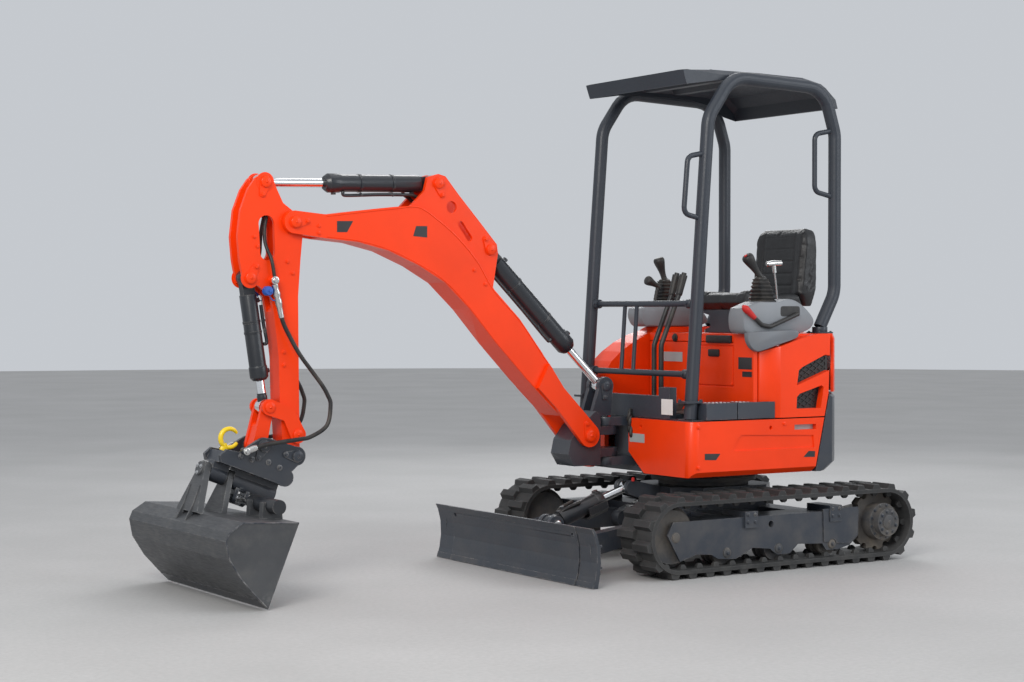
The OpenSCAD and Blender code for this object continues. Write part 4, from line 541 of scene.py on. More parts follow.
class EXCAVATOR_OT_paint(bpy.types.Operator):
    """Gives every solid its finish and soft edges"""

    bl_idname = "excavator.paint"
    bl_label = "Paint"

    def execute(self, context):
        cfg = settings()
        MATS.update(make_materials(cfg))
        for finish, names in NODE_FINISH.items():
            for name in names.split():
                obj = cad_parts[name]
                obj.data.materials.clear()
                obj.data.materials.append(MATS[finish])
                weld = obj.modifiers.new("weld", "WELD")
                weld.merge_threshold = 0.00002
                edge = obj.modifiers.new("soft edge", "BEVEL")
                fine = name in ("grilles", "track_left", "track_right")
                edge.width = cfg.edge_soft * (0.5 if fine else 1.0)
                edge.segments, edge.limit_method = 2, "ANGLE"
                edge.angle_limit = math.radians(32)
                edge.use_clamp_overlap = True
                edge.harden_normals = True
        return {"FINISHED"}


class EXCAVATOR_OT_seat(bpy.types.Operator):
    """Swells the seat cushion and the backrest and sews their channels"""

    bl_idname = "excavator.seat"
    bl_label = "Seat"

    def execute(self, context):
        cfg = settings()
        self.pad("seat_cushion", "seat_cushion_pad", cfg, 2)
        self.pad("seat_back", "seat_back_pad", cfg, 0)
        return {"FINISHED"}

    def pad(self, node, name, cfg, thick_axis):
        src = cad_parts[node]
        mesh = src.data.copy()
        obj = bpy.data.objects.new(name, mesh)
        bpy.context.scene.collection.objects.link(obj)
        lo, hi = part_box(node)
        mid = (lo + hi) / 2
        half = (hi - lo) / 2
        for v in mesh.vertices:
            for k in range(3):
                v.co[k] = mid[k] + (v.co[k] - mid[k]) * (1 - cfg.pad_cap * 0.8 / half[k])
        bpy.context.view_layer.objects.active = obj
        mod = obj.modifiers.new("voxels", "REMESH")
        mod.mode, mod.voxel_size = "VOXEL", cfg.pad_voxel
        bpy.ops.object.modifier_apply(modifier=mod.name)
        rest = [v.co.copy() for v in obj.data.vertices]
        cloth = obj.modifiers.new("swell", "CLOTH")
        cloth.settings.use_pressure = True
        cloth.settings.uniform_pressure_force = 4.0
        cloth.settings.quality = 4
        cloth.settings.effector_weights.gravity = 0.0
        cloth.collision_settings.use_collision = False
        scene = bpy.context.scene
        for f in range(1, 21):
            scene.frame_set(f)
        graph = bpy.context.evaluated_depsgraph_get()
        done = bpy.data.meshes.new_from_object(obj.evaluated_get(graph))
        obj.modifiers.remove(cloth)
        scene.frame_set(1)
        for v, r, d in zip(obj.data.vertices, rest, done.vertices):
            move = d.co - r
            if move.length > cfg.pad_cap:
                move *= cfg.pad_cap / move.length
            v.co = r + move
        bpy.data.meshes.remove(done)
        if thick_axis == 0:
            for v in obj.data.vertices:
                w = (v.co.z - mid.z) / half.z
                narrow = 0.34 * max(0.0, (w - 0.45) / 0.55) ** 2.6 + 0.1 * max(0.0, (-w - 0.5) / 0.5) ** 2
                v.co.y = mid.y + (v.co.y - mid.y) * (1 - narrow)
        self.sew(obj, mid, half, thick_axis)
        sub = obj.modifiers.new("smooth", "SUBSURF")
        sub.levels = sub.render_levels = 1
        dress(obj, "vinyl")
        finish_piece(obj, "house")
        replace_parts(obj, node)

    def sew(self, obj, mid, half, thick_axis):
        """Raised side bolsters and sewn channels across the middle."""
        long_axis = 0 if thick_axis == 2 else 2
        channels = 3.5
        for v in obj.data.vertices:
            u = (v.co.y - mid.y) / half.y
            w = (v.co[long_axis] - mid[long_axis]) / half[long_axis]
            face = (v.co[thick_axis] - mid[thick_axis]) / half[thick_axis]
            if face < 0.1:
                continue
            bolster = max(0.0, min(1.0, (abs(u) - 0.52) / 0.22))
            lift = 0.01 * bolster * max(0.0, 1 - max(0.0, abs(u) - 0.86) / 0.14)
            groove = math.exp(-(((abs(u) - 0.56) * half.y / 0.006) ** 2))
            from_seam = ((w * channels) % 1.0 - 0.5) * 2 * half[long_axis] / channels
            inside = abs(u) < 0.54 and abs(w) < 0.9
            rows = math.exp(-((from_seam / 0.007) ** 2)) if inside else 0.0
            v.co[thick_axis] += face * (lift - 0.006 * groove - 0.004 * rows)


class EXCAVATOR_OT_hoses(bpy.types.Operator):
    """Lays the two oil hoses from the arm to the hitch, with their couplings"""

    bl_idname = "excavator.hoses"
    bl_label = "Hoses"

    def execute(self, context):
        r = settings().hose_r
        for side, node in ((1, "hose_left"), (-1, "hose_right")):
            pts = [beside((x, z), side * out) for x, out, z in HOSE]
            path = spline(pts, 6)
            kit = Kit(node + "_rubber", None, "hose_rubber")
            kit.grid(tube_rings(path, r, 14))
            tube = kit.mesh()
            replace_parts(tube, node)
            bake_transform(tube)
            self.ends(node, path, side, r)
        feeds = Kit("arm_service_hoses", "arm", "hose_rubber")
        route = (
            (2.264, 0.014, 1.604), (2.274, 0.014, 1.556), (2.283, 0.016, 1.508), (2.284, 0.022, 1.462),
            (2.279, 0.037, 1.424), (2.273, 0.058, 1.39), (2.266, 0.065, 1.345), (2.26, 0.067, 1.296),
        )
        for side in SIDES:
            feeds.rod([beside((x, z), side * out) for x, out, z in route], r * THIN, 12, 5)
        feeds.done()
        self.lines(r)
        return {"FINISHED"}

    def ends(self, node, path, side, r):
        """The couplings on the arm and the hitch, and a dust cap on its strap."""
        axis = (0, side, 0)
        top = Kit(node + "_coupling", "arm", "bright")
        steps = (1.6, 1.6, 1.35, 1.75, 1.75, 1.4, 1.7, 1.7, 1.35, 1.35, 1.3, 1.25)
        top.grid(tube_rings(path[:12], [r * k for k in steps], 18))
        top.bolt(beside((2.2645, 1.2987), side * 0.08), axis, 0.012)
        top.done(0.0008)
        end = Kit(node + "_ferrule", "coupler", "bright")
        end.grid(tube_rings(path[-4:], [r * k for k in (1.25, 1.5, 1.5, 1.4)], 16))
        end.bolt(beside((2.4139, 0.5968), side * 0.1224), axis, 0.011)
        end.done(0.0008)
        cap = Kit(node + "_dust_cap", "arm", "cap_blue")
        at = beside((2.288, 1.255), side * 0.047)
        profile = [(0.02, 0), (0.02, 0.024), (0.017, 0.03), (0.006, 0.032), (0.005, 0.04)]
        cap.lathe(at - Vector((0, side * 0.003, 0)), axis, profile, 20)
        strap = ((-0.004, 0.01, -0.014), (-0.022, 0.016, -0.04), (-0.04, 0.014, -0.028), (-0.045, 0.002, 0.006))
        cap.rod([at + Vector((x, side * out, z)) for x, out, z in strap], 0.0022, 6)
        cap.done()

    def lines(self, r):
        """Steel pipes and short hoses that serve the cylinders."""
        for name, body, a, b, big, t0, t1, sign in (
            ("boom_cylinder_pipe", "boom_barrel", LIFT_PIN, LIFT_LUG, 0.042, 0.13, 0.6, 1),
            ("arm_cylinder_pipe", "arm_barrel", CROWD_PIN, CROWD_LUG, 0.038, 0.13, 0.54, -1),
            ("bucket_cylinder_pipe", "bucket_barrel", CURL_PIN, LINK_PIN, 0.036, 0.22, 0.52, -1),
        ):
            kit = Kit(name, body, "cylinder_black")
            way = Vector((b[0] - a[0], 0, b[1] - a[1])).normalized()
            off = sign * (big + 0.011)
            stops = (
                (t1, sign * big * 0.95), (t1, off), (t1 - 0.03, off + sign * 0.004),
                ((t0 + t1) / 2, off), (t0 + 0.03, off), (t0, off),
            )
            kit.rod([beside(along(a, b, t, o), 0.012) for t, o in stops], 0.0075, 10, 5)
            for t in (t0 + 0.12, t1 - 0.1):
                kit.band(beside(along(a, b, t)) - way * 0.006, way, big, 0.002, 0.012)
                kit.bolt(beside(along(a, b, t, off), 0.017), (0, 1, 0), 0.006)
            kit.done()
        feed = Kit("arm_cylinder_hose", None, "hose_rubber")
        ends = Kit("arm_cylinder_hose_ends", "boom", "bright")
        for out, route in (
            (0.012, ((1.6, 1.6775), (1.566, 1.676), (1.54, 1.66), (1.526, 1.628), (1.522, 1.59))),
            (-0.028, ((1.6, 1.704), (1.59, 1.68), (1.56, 1.662), (1.53, 1.63), (1.522, 1.59))),
        ):
            feed.rod([beside(q, out) for q in route], r * THIN, 10, 5)
            ends.lathe(beside((1.523, 1.572), out), UP, [(0.014, 0), (0.014, 0.012), (0.011, 0.014), (0.011, 0.03)], 12)
        feed = feed.mesh()
        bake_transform(feed)
        ends.done()
        bundle = Kit("bracket_hoses", "house", "hose_rubber")
        for i, (y, z) in enumerate(((0.03, 0.66), (0.036, 0.636), (0.03, 0.612), (0.042, 0.59))):
            route = (
                (0.43, -0.01, -0.01), (0.45, 0.0, 0.0), (0.466, 0.003 * i, 0.006),
                (0.463, 0.006, 0.034), (0.45, -0.006, 0.05), (0.434, -0.012, 0.048),
            )
            bundle.rod([(x, y + dy, z + dz) for x, dy, dz in route], r, 10, 5)
        bundle.done()


class EXCAVATOR_OT_pins(bpy.types.Operator):
    """Caps the pins of the front gear and bolts their keepers"""

    bl_idname = "excavator.pins"
    bl_label = "Pins"

    def execute(self, context):
        # Each pin: place, half length, radius and the keeper's angle, if it has one
        for body, finish, pins in (
            ("boom", "paint_orange", (
                (FOOT, 0.105, 0.028, 70), (ELBOW, 0.085, PIN_R, 175),
                (LIFT_PIN, 0.068, PIN_R, 60), (CROWD_PIN, 0.068, PIN_R, -110),
            )),
            ("arm", "paint_orange", (
                (CROWD_LUG, 0.055, PIN_R, -75), (CURL_PIN, 0.055, PIN_R, 120), (IDLER_PIN, 0.0655, PIN_R, None),
            )),
            ("idler", "paint_orange", ((LINK_PIN, 0.0655, PIN_R, None),)),
            ("coupler", "hitch_dark", ((TIP_PIN, 0.096, PIN_R, 10), (HITCH_PIN, 0.096, PIN_R, -60))),
            ("swing", "paint_dark", ((LIFT_LUG, 0.06, PIN_R, -80),)),
        ):
            heads = Kit(body + "_pin_heads", body, finish)
            keep = Kit(body + "_pin_keepers", body, finish)
            for at, y, r, turn in pins:
                for s in SIDES:
                    heads.pin_head(beside(at, s * y), (0, s, 0), r * 0.96, 0.006)
                    if turn is not None:
                        self.keeper(heads, keep, at, y - 0.0105, s, r, math.radians(turn))
            heads.done()
            if keep.bm.verts:
                keep.done(0.0008)
        blade = Kit("blade_pin_heads", "blade", "bright")
        plug = [(0.0195, -0.03), (0.0195, 0.004), (0.016, 0.008), (0.004, 0.009)]
        for s in SIDES:
            blade.pin_head((0.88, s * 0.059, 0.205), (0, s, 0), 0.019, 0.005)
            blade.lathe((0.33, s * 0.34, 0.18), (0, s, 0), plug, 24)
        blade.done()
        return {"FINISHED"}

    def keeper(self, heads, keep, at, seat, s, r, turn):
        """A plate that is round about its pin and runs out to a bolt."""
        thick, end_r, reach = 0.006, 0.013, r + 0.03
        ux, uz = math.cos(turn), math.sin(turn)
        arcs = [(math.pi / 2 + math.pi * k / 12, r * 1.12, 0.0) for k in range(13)]
        arcs += [(-math.pi / 2 + math.pi * k / 8, end_r, reach) for k in range(9)]
        pts = []
        for w, radius, d in arcs:
            x, z = d + radius * math.cos(w), radius * math.sin(w)
            pts.append((at[0] + x * ux - z * uz, at[1] + x * uz + z * ux))
        keep.slab(pts, BOOM_Y + s * seat, BOOM_Y + s * (seat + thick))
        heads.bolt(beside((at[0] + ux * reach, at[1] + uz * reach), s * (seat + thick)), (0, s, 0), 0.008)


class EXCAVATOR_OT_front(bpy.types.Operator):
    """Bolts, stripes and plates on the boom, the arm and the hitch"""

    bl_idname = "excavator.front"
    bl_label = "Boom and arm"

    def execute(self, context):
        self.bolts("arm_block_bolts", "arm", "paint_orange", ARM_HALF, 0.007, ((2.21, 1.0), (2.21, 0.945)))
        places = ((2.168, 1.33), (2.193, 1.378), (2.33, 1.44), (2.345, 1.48))
        self.bolts("arm_bolts", "arm", "paint_orange", ARM_HALF, 0.007, places)
        places = ((1.235, 1.29), (1.292, 1.352), (2.06, 1.53), (2.06, 1.5))
        self.bolts("boom_bolts", "boom", "paint_orange", BOOM_HALF, 0.007, places)
        marks = Kit("boom_stripes", "boom", "mark_black")
        for pts in (
            ((1.974, 1.552), (1.897, 1.554), (1.926, 1.506), (1.974, 1.505)),
            ((1.588, 1.54), (1.533, 1.541), (1.533, 1.491), (1.603, 1.496)),
        ):
            marks.slab(pts, BOOM_Y + 0.0748, BOOM_Y + 0.0758)
        marks.done(flat=True)
        self.seams()
        rings = Kit("arm_boss_rings", "arm", "paint_orange")
        for at, r in ((CROWD_LUG, 0.04), (CURL_PIN, 0.042), (TIP_PIN, 0.041), (IDLER_PIN, 0.034)):
            for s in SIDES:
                profile = [(r, 0), (r, 0.002), (r - 0.004, 0.0025), (0.025, 0.0025)]
                rings.lathe(beside(at, s * 0.0445), (0, s, 0), profile, 36)
        rings.done()
        self.hook()
        clevis = Kit("bucket_rod_end", "bucket_rod", "cylinder_black")
        way = Vector((CURL_PIN[0] - LINK_PIN[0], 0, CURL_PIN[1] - LINK_PIN[1])).normalized()
        profile = [(0.0185, 0.018), (0.0215, 0.022), (0.0215, 0.046), (0.0198, 0.05), (0.0198, 0.058), (0.017, 0.061)]
        clevis.lathe(beside(LINK_PIN), way, profile, 28)
        clevis.done()
        places = ((2.375, 0.56), (2.425, 0.575), (2.3, 0.545), (2.25, 0.52))
        self.bolts("hitch_bolts", "coupler", "hitch_dark", 0.086, 0.009, places)
        return {"FINISHED"}

    def bolts(self, name, body, finish, half, r, places):
        """Bolts on both sides at places in X and Z."""
        kit = Kit(name, body, finish)
        for at in places:
            for s in SIDES:
                kit.bolt(beside(at, s * half), (0, s, 0), r)
        kit.done()

    def seams(self):
        """Weld seams along the boom's upper and lower edges, in boom spans from its foot."""
        upper = (
            (0.13, 0.205), (0.167, 0.25), (0.25, 0.355), (0.339, 0.441), (0.4, 0.53), (0.466, 0.598),
            (0.531, 0.647), (0.6, 0.685), (0.677, 0.68), (0.801, 0.665), (0.9, 0.6525),
        )
        lower = (
            (0.9, 0.594), (0.801, 0.585), (0.701, 0.562), (0.599, 0.52), (0.511, 0.471),
            (0.426, 0.393), (0.333, 0.29), (0.223, 0.1785), (0.16, 0.119),
        )
        kit = Kit("boom_weld_seams", "boom", "paint_orange")
        for s in SIDES:
            for edge in (upper, lower):
                line = [beside((FOOT[0] + BOOM_SPAN * a, FOOT[1] + BOOM_SPAN * b), s * 0.0745) for a, b in edge]
                kit.rod(line, 0.0035, 8, 6)
        kit.done()

    def hook(self):
        """The lifting hook's round bend, and its flared root on the hitch."""
        kit = Kit("hook_round", "coupler", "paint_yellow")
        bend = 0.0392
        turn = [math.radians(152 - 302 * k / 24) for k in range(25)]
        path = [beside((2.4373 + bend * math.cos(w), 0.6455 + bend * math.sin(w))) for w in turn]
        swell = [0.0085 + 0.0022 * math.sin(math.pi * k / 20) for k in range(21)]
        kit.grid(tube_rings(path, [0.0045, 0.007] + swell + [0.0085, 0.006], 16))
        rings = []
        for dx, dz, w in ((0.0, 0.0, 0.0205), (-0.003, 0.01, 0.0195), (-0.006, 0.022, 0.015), (-0.004, 0.034, 0.0095)):
            mid = beside((2.463 + dx, 0.5935 + dz))
            spots = ((math.cos(TURN * k / 20), math.sin(TURN * k / 20)) for k in range(20))
            rings.append([mid + Vector((w * 0.94 * c, 0.0105 * s, w * 0.36 * c)) for c, s in spots])
        kit.grid(rings)
        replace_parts(kit.done(), "lifting_hook")


class EXCAVATOR_OT_house(bpy.types.Operator):
    """Stripes, blank plates, latches, caps and treads on the house"""

    bl_idname = "excavator.house"
    bl_label = "House"

    def execute(self, context):
        black = Kit("skirt_stripes", "house", "mark_black")
        for pts in (
            ((0.384, 0.533), (0.295, 0.53), (0.32, 0.502), (0.384, 0.505)),
            ((-0.229, 0.522), (-0.268, 0.52), (-0.266, 0.493), (-0.197, 0.495)),
        ):
            black.slab(pts, HOUSE_HALF - 0.0002, HOUSE_HALF + 0.0009)
        plate_x = SEAT_FRONT_X + 0.0002
        black.panel(plate_x, 0.348, 0.444, 0.903, 0.958, 0.0009)
        black.panel(plate_x, 0.376, 0.444, 0.868, 0.893, 0.0009)
        black.done(flat=True)
        shine = Kit("bright_plates", "house", "reflector")
        shine.panel(0.4622, 0.036, 0.15, 0.565, 0.605, 0.0012)
        shine.panel(plate_x, -0.249, -0.072, 0.928, 0.974, 0.0012)
        shine.slab(((-0.277, 0.618), (-0.14, 0.618), (-0.14, 0.65), (-0.277, 0.65)), 0.47, 0.4712)
        shine.done(flat=True)
        white = Kit("blank_label", "house", "label_white")
        white.panel(0.4419, 0.252, 0.336, 0.7, 0.771, 0.0011)
        white.done(flat=True)
        self.latches()
        red = Kit("grease_caps", "house", "cap_red")
        for z in (0.4945, 0.679):
            red.lathe(beside((0.532, z), 0.036), UP, [(0.009, 0), (0.009, 0.01), (0.005, 0.014), (0.001, 0.015)], 14)
        red.done()
        bolts = Kit("skirt_bolts", "house", "paint_orange")
        for s in SIDES:
            for x, z in ((0.42, 0.652), (-0.08, 0.652), (0.42, 0.47)):
                bolts.bolt((x, s * HOUSE_HALF, z), (0, s, 0), 0.007)
        for y, z in ((0.036, 0.832), (0.3, 0.832), (-0.3, 0.74), (-0.3, 1.0), (0.42, 0.74)):
            bolts.bolt((SEAT_FRONT_X, y, z), AHEAD, 0.006)
        bolts.done()
        self.treads()
        lip = Kit("panel_seals", "house", "hose_rubber")
        for s in SIDES:
            lip.rod([(x, s * 0.47, 0.6778) for x in (0.442, 0.2, -0.05, -0.3)], 0.0028, 8, 2)
        lip.done()
        return {"FINISHED"}

    def latches(self):
        """Handles and locks on the seat base, the hood and the tank."""
        kit = Kit("latches", "house", "plastic_black")
        root = SEAT_FRONT_X - 0.0005
        kit.knob(0.21, 1.04, ((root, 0.184, 0.036, 0.008), (0.08, 0.184, 0.036, 0.008), (0.084, 0.16, 0.02, 0.006)))
        kit.knob(0.17, 0.975, ((root, 0.08, 0.034, 0.008), (0.076, 0.08, 0.034, 0.008), (0.078, 0.066, 0.022, 0.006)))
        for at, axis, profile, n in (
            ((root, -0.129, 1.043), AHEAD,
             [(0.02, 0), (0.02, 0.004), (0.016, 0.006), (0.012, 0.006), (0.012, 0.012), (0.005, 0.013)], 24),
            ((-0.6195, 0.0, 0.86), (-1, 0, 0),
             [(0.024, -0.006), (0.024, 0.002), (0.018, 0.004), (0.006, 0.004)], 24),
            ((-0.06, -0.415, 1.0925), UP,
             [(0.046, -0.002), (0.046, 0.012), (0.042, 0.016), (0.03, 0.017), (0.028, 0.026), (0.01, 0.027)], 32),
        ):
            kit.lathe(at, axis, profile, n)
        kit.done(0.0008)

    def treads(self):
        """A ribbed mat on the floor and studs on the left step."""
        mat = Kit("floor_mat", "house", "mat_rubber")
        mat.pad(0.232, 0.02, 0.25, 0.66, 0.03, (0.7008, 0.705))
        for i in range(9):
            mat.pad(0.232, -0.27 + 0.0725 * i, 0.215, 0.022, 0.008, (0.7048, 0.7078), (0.02, 0.006))
        mat.done()
        tread = Kit("step_treads", "house", "steel")
        pitch = 0.022
        for x0, x1 in ((0.1, 0.185), (0.215, 0.345)):
            for i in range(int((x1 - x0) / pitch)):
                for j in range(3):
                    at = (x0 + pitch * i + 0.008, 0.405 + 0.028 * j, 0.7555)
                    tread.lathe(at, UP, [(0.0075, 0), (0.0065, 0.0022), (0.003, 0.0026)], 10)
        tread.done()


class EXCAVATOR_OT_canopy(bpy.types.Operator):
    """Flanges, clamps and bolts of the canopy"""

    bl_idname = "excavator.canopy"
    bl_label = "Canopy"

    def execute(self, context):
        dark = Kit("canopy_flanges", "house", "canopy_dark")
        bolts = Kit("canopy_bolts", "house", "canopy_dark")
        post_y, rear_x, front_z, rear_z = 0.41, -0.3715, 0.766, 1.0725
        for s in SIDES:
            dark.pad(0.4, s * post_y, 0.096, 0.076, 0.012, (0.7562, front_z))
            for x, y in ((0.362, 0.382), (0.362, 0.438), (0.438, 0.382)):
                bolts.bolt((x, s * y, front_z), UP, 0.007)
            for k in range(4):
                w = math.radians(45 + 90 * k)
                bolts.bolt((rear_x + 0.05 * math.cos(w), s * post_y + 0.05 * math.sin(w), rear_z), UP, 0.005)
            dark.pad(rear_x, s * post_y, 0.096, 0.096, 0.014, (1.0664, rear_z))
            for z, x in ((0.8848, 0.3848), (1.2048, 0.3622)):
                dark.lathe((x, s * 0.376, z), (0, s, 0), [(0.022, -0.03), (0.022, 0.0), (0.018, 0.004)], 20)
                bolts.bolt((x + 0.022, s * 0.36, z), AHEAD, 0.005)
        dark.done(0.001)
        bolts.done()
        self.roof()
        return {"FINISHED"}

    def roof(self):
        """One folded sheet with turned-down edges, its rear valance carried round the corners, on three ribs."""
        y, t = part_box("canopy_roof")[1][1], 0.007
        lid = Kit("roof_lid", "house", "canopy_dark")
        # From the front lip to the rear valance: X and Z outside, the drop of the sides, X and Z inside
        rows = (
            (0.398, 2.198, 0.003, 0.392, 2.198), (0.42, 2.2595, 0.004, 0.412, 2.253),
            (0.397, 2.2622, 0.067, 0.391, 2.2552), (0.218, 2.2727, 0.05, 0.218, 2.2657),
            (-0.049, 2.275, 0.046, -0.049, 2.268), (-0.22, 2.2722, 0.05, -0.22, 2.2652),
            (-0.316, 2.2705, 0.066, -0.314, 2.2635), (-0.432, 2.248, 0.098, -0.429, 2.2415),
            (-0.495, 2.196, 0.06, -0.488, 2.194), (-0.508, 2.136, 0.003, -0.501, 2.136),
        )
        rings = []
        for x, z, drop, xi, zi in rows:
            fold = min(0.022, drop * 0.6) if x < 0.38 else 0.0015
            low = z - drop
            left = [(y - 0.1, z), (y - 0.034, z), (y, z - fold), (y, low)]
            outer = [(-k, h) for k, h in reversed(left)] + [(0.0, z)] + left
            inner = [(k * (y - t) / y, max(low, min(h, h - z + zi))) for k, h in reversed(outer)]
            rings.append([Vector((x, k, h)) for k, h in outer] + [Vector((xi, k, h)) for k, h in inner])
        lid.grid(rings)
        rib = ((-0.036, 0.0), (-0.022, -0.024), (0.022, -0.024), (0.036, 0.0))
        for x in (0.246, 0.066, -0.114):
            lid.slab([(x + a, 2.266 + h) for a, h in rib], -y + 0.03, y - 0.03)
        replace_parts(lid.done(0.0, True), "canopy_roof")


class EXCAVATOR_OT_controls(bpy.types.Operator):
    """Rounded consoles, pleated boots, grips and the lock lever's handle"""

    bl_idname = "excavator.controls"
    bl_label = "Controls"

    def execute(self, context):
        self.consoles()
        self.sticks()
        red = Kit("lock_grip", "house", "cap_red")
        path = spline([(x, 0.4654, z) for x, z in ((0.072, 1.14), (0.1, 1.162), (0.142, 1.194))], 5)
        sizes = [0.0115, 0.012, 0.0125, 0.013, 0.0135, 0.014, 0.015, 0.0165, 0.017, 0.014, 0.006]
        red.grid(tube_rings(path, sizes, 16))
        red.done()
        pedal = Kit("pedals", "house", "mat_rubber")
        for y in (0.115, -0.15):
            levels = ((0.3, 0.7075), (0.28, 0.73), (0.26, 0.738))
            pedal.grid([[Vector((a, b, z)) for a, b in rounded(x, y, 0.11, 0.07, 0.012)] for x, z in levels])
            for i in range(4):
                pedal.pad(0.228 + 0.026 * i, y, 0.01, 0.058, 0.003, (0.7375, 0.741))
        pedal.done(0.0015)
        slide = Kit("seat_slides", "house", "steel")
        x0, x1, low, top = -0.44, -0.135, 1.0664, 1.08
        for s in SIDES:
            slide.slab(((x0, low), (x1, low), (x1, top), (x0, top)), s * 0.148, s * 0.164)
            for x in (x0 + 0.02, x1 - 0.02):
                slide.bolt((x, s * 0.156, top), UP, 0.006)
        slide.done(0.001)
        return {"FINISHED"}

    def loft(self, kit, outline, y0, y1, r):
        """A body with a smooth outline in X and Z and round edges on both faces."""
        line = spline([(x, 0, z) for x, z in outline + outline[:1]], 4)[:-1]
        mid = sum(line, Vector()) / len(line)
        rings = []
        near = ((0, r), (0.25 * r, 0.35 * r), (r, 0))
        steps = [(y0 + d, inset) for d, inset in near] + [(y1 - d, inset) for d, inset in reversed(near)]
        for y, inset in steps:
            rings.append([Vector((p.x, y, p.z)) - (p - mid).normalized() * inset for p in line])
        kit.grid(rings)

    def consoles(self):
        top = [
            (0.118, 1.184), (0.075, 1.201), (0.03, 1.214), (-0.03, 1.2152), (-0.085, 1.217),
            (-0.125, 1.226), (-0.166, 1.2255), (-0.209, 1.212), (-0.262, 1.175), (-0.3, 1.132),
        ]
        left = [
            (-0.292, 1.1), (-0.255, 1.0775), (-0.19, 1.0672), (0.07, 1.0672),
            (0.112, 1.072), (0.126, 1.1), (0.128, 1.145),
        ]
        right = [
            (-0.292, 1.112), (-0.255, 1.0985), (-0.19, 1.0938), (0.06, 1.0938),
            (0.094, 1.098), (0.112, 1.116), (0.124, 1.15),
        ]
        for node, under, y0, y1 in (("console_left", left, 0.336, 0.4545), ("console_right", right, -0.4545, -0.336)):
            kit = Kit(node + "_shell", "house", "plastic_light")
            self.loft(kit, top + under, y0, y1, 0.016)
            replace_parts(kit.done(), node)
        skirt = Kit("console_skirt", "house", "plastic_grey")
        outline = [
            (0.132, 1.072), (0.127, 1.035), (0.106, 1.003), (0.072, 0.986), (0.036, 0.9905), (-0.033, 1.008),
            (-0.093, 1.025), (-0.16, 1.045), (-0.176, 1.06), (-0.17, 1.08), (-0.1, 1.083), (0.05, 1.078),
        ]
        self.loft(skirt, outline, 0.4562, 0.488, 0.01)
        skirt.done()
        # A thin black plate on each console's side where it has a recess: painted shade of the recess, whose hollow is
        # not modelled
        recess_shade = Kit("console_recess_shade", "house", "plastic_black")
        for s in SIDES:
            levels = ((0.453, 0.12, 0.05), (0.4552, 0.116, 0.046))
            recess_shade.grid([
                [Vector((x, s * y, z)) for x, z in rounded(-0.15, 1.17, w, h, 0.012)] for y, w, h in levels
            ])
        recess_shade.done()

    def boot(self, kit, base, half, top, height, lean):
        """A square pleated boot that narrows upward."""
        rings = []
        steps = 13
        for k in range(steps):
            t = k / (steps - 1)
            w = (half + (top - half) * t) * (1.0 if k % 2 == 0 else 0.84)
            if k in (0, steps - 1):
                w *= 0.97
            at = Vector(base) + Vector((lean * t, 0, height * t))
            rings.append([at + Vector((a, b * 0.9, 0)) for a, b in rounded(0, 0, 2 * w, 2 * w, w * 0.3)])
        kit.grid(rings)
        return Vector(base) + Vector((lean, 0, height))

    def grip(self, kit, a, b, k=1.0):
        """A stem that swells into a round grip."""
        a, b = Vector(a), Vector(b)
        sizes = (0.019, 0.015, 0.0138, 0.0145, 0.017, 0.02, 0.0235, 0.0265, 0.028, 0.027, 0.022, 0.011)
        stops = (0, 0.06, 0.16, 0.28, 0.42, 0.54, 0.66, 0.77, 0.86, 0.93, 0.98, 1.0)
        kit.grid(tube_rings([a.lerp(b, t) for t in stops], [r * k for r in sizes], 20))

    def sticks(self):
        boots = Kit("stick_boots", "house", "hose_rubber")
        grips = Kit("stick_grips", "house", "plastic_black")
        for x, y, lean, dx, dz in ((-0.034, 0.395, 0.012, 0.086, 0.108), (-0.078, -0.395, 0.01, 0.04, 0.116)):
            top = self.boot(boots, (x, y, 1.2148), 0.056, 0.032, 0.104, lean)
            boots.lathe(top - Vector((0, 0, 0.002)), UP, [(0.03, 0), (0.028, 0.008), (0.02, 0.014)], 24)
            self.grip(grips, top + Vector((0, 0, 0.006)), top + Vector((dx, 0, dz)))
        self.grip(grips, (-0.02, -0.376, 1.29), (0.062, -0.372, 1.326), 0.85)
        grips.rod([(0.0096, -0.371, 1.215), (0.0, -0.373, 1.255), (-0.012, -0.376, 1.2935)], 0.009, 10, 4)
        boots.done()
        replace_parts(grips.done(), "joysticks")
        bar = Kit("throttle_pull", "house", "bright")
        stops = ((-0.19, 1.3955), (-0.186, 1.3955), (-0.15, 1.3945), (-0.135, 1.3935), (-0.104, 1.39), (-0.1, 1.3895))
        pull = [Vector((x, 0.345, z)) for x, z in stops]
        bar.grid(tube_rings(pull, [0.008, 0.0125, 0.0135, 0.0135, 0.0125, 0.008], 14))
        bar.rod([(-0.143, 0.345, 1.39), (-0.146, 0.345, 1.37), (-0.149, 0.345, 1.35)], 0.0095, 12, 3)
        bar.rod([(-0.148, 0.345, 1.355), (-0.156, 0.346, 1.3), (-0.164, 0.347, 1.218)], 0.0042, 8, 3)
        bar.done()
        red = Kit("stick_buttons", "house", "cap_red")
        red.lathe((0.0665, 0.395, 1.423), (0.62, 0, 0.78), [(0.008, -0.004), (0.008, 0.004), (0.005, 0.006)], 14)
        red.done()


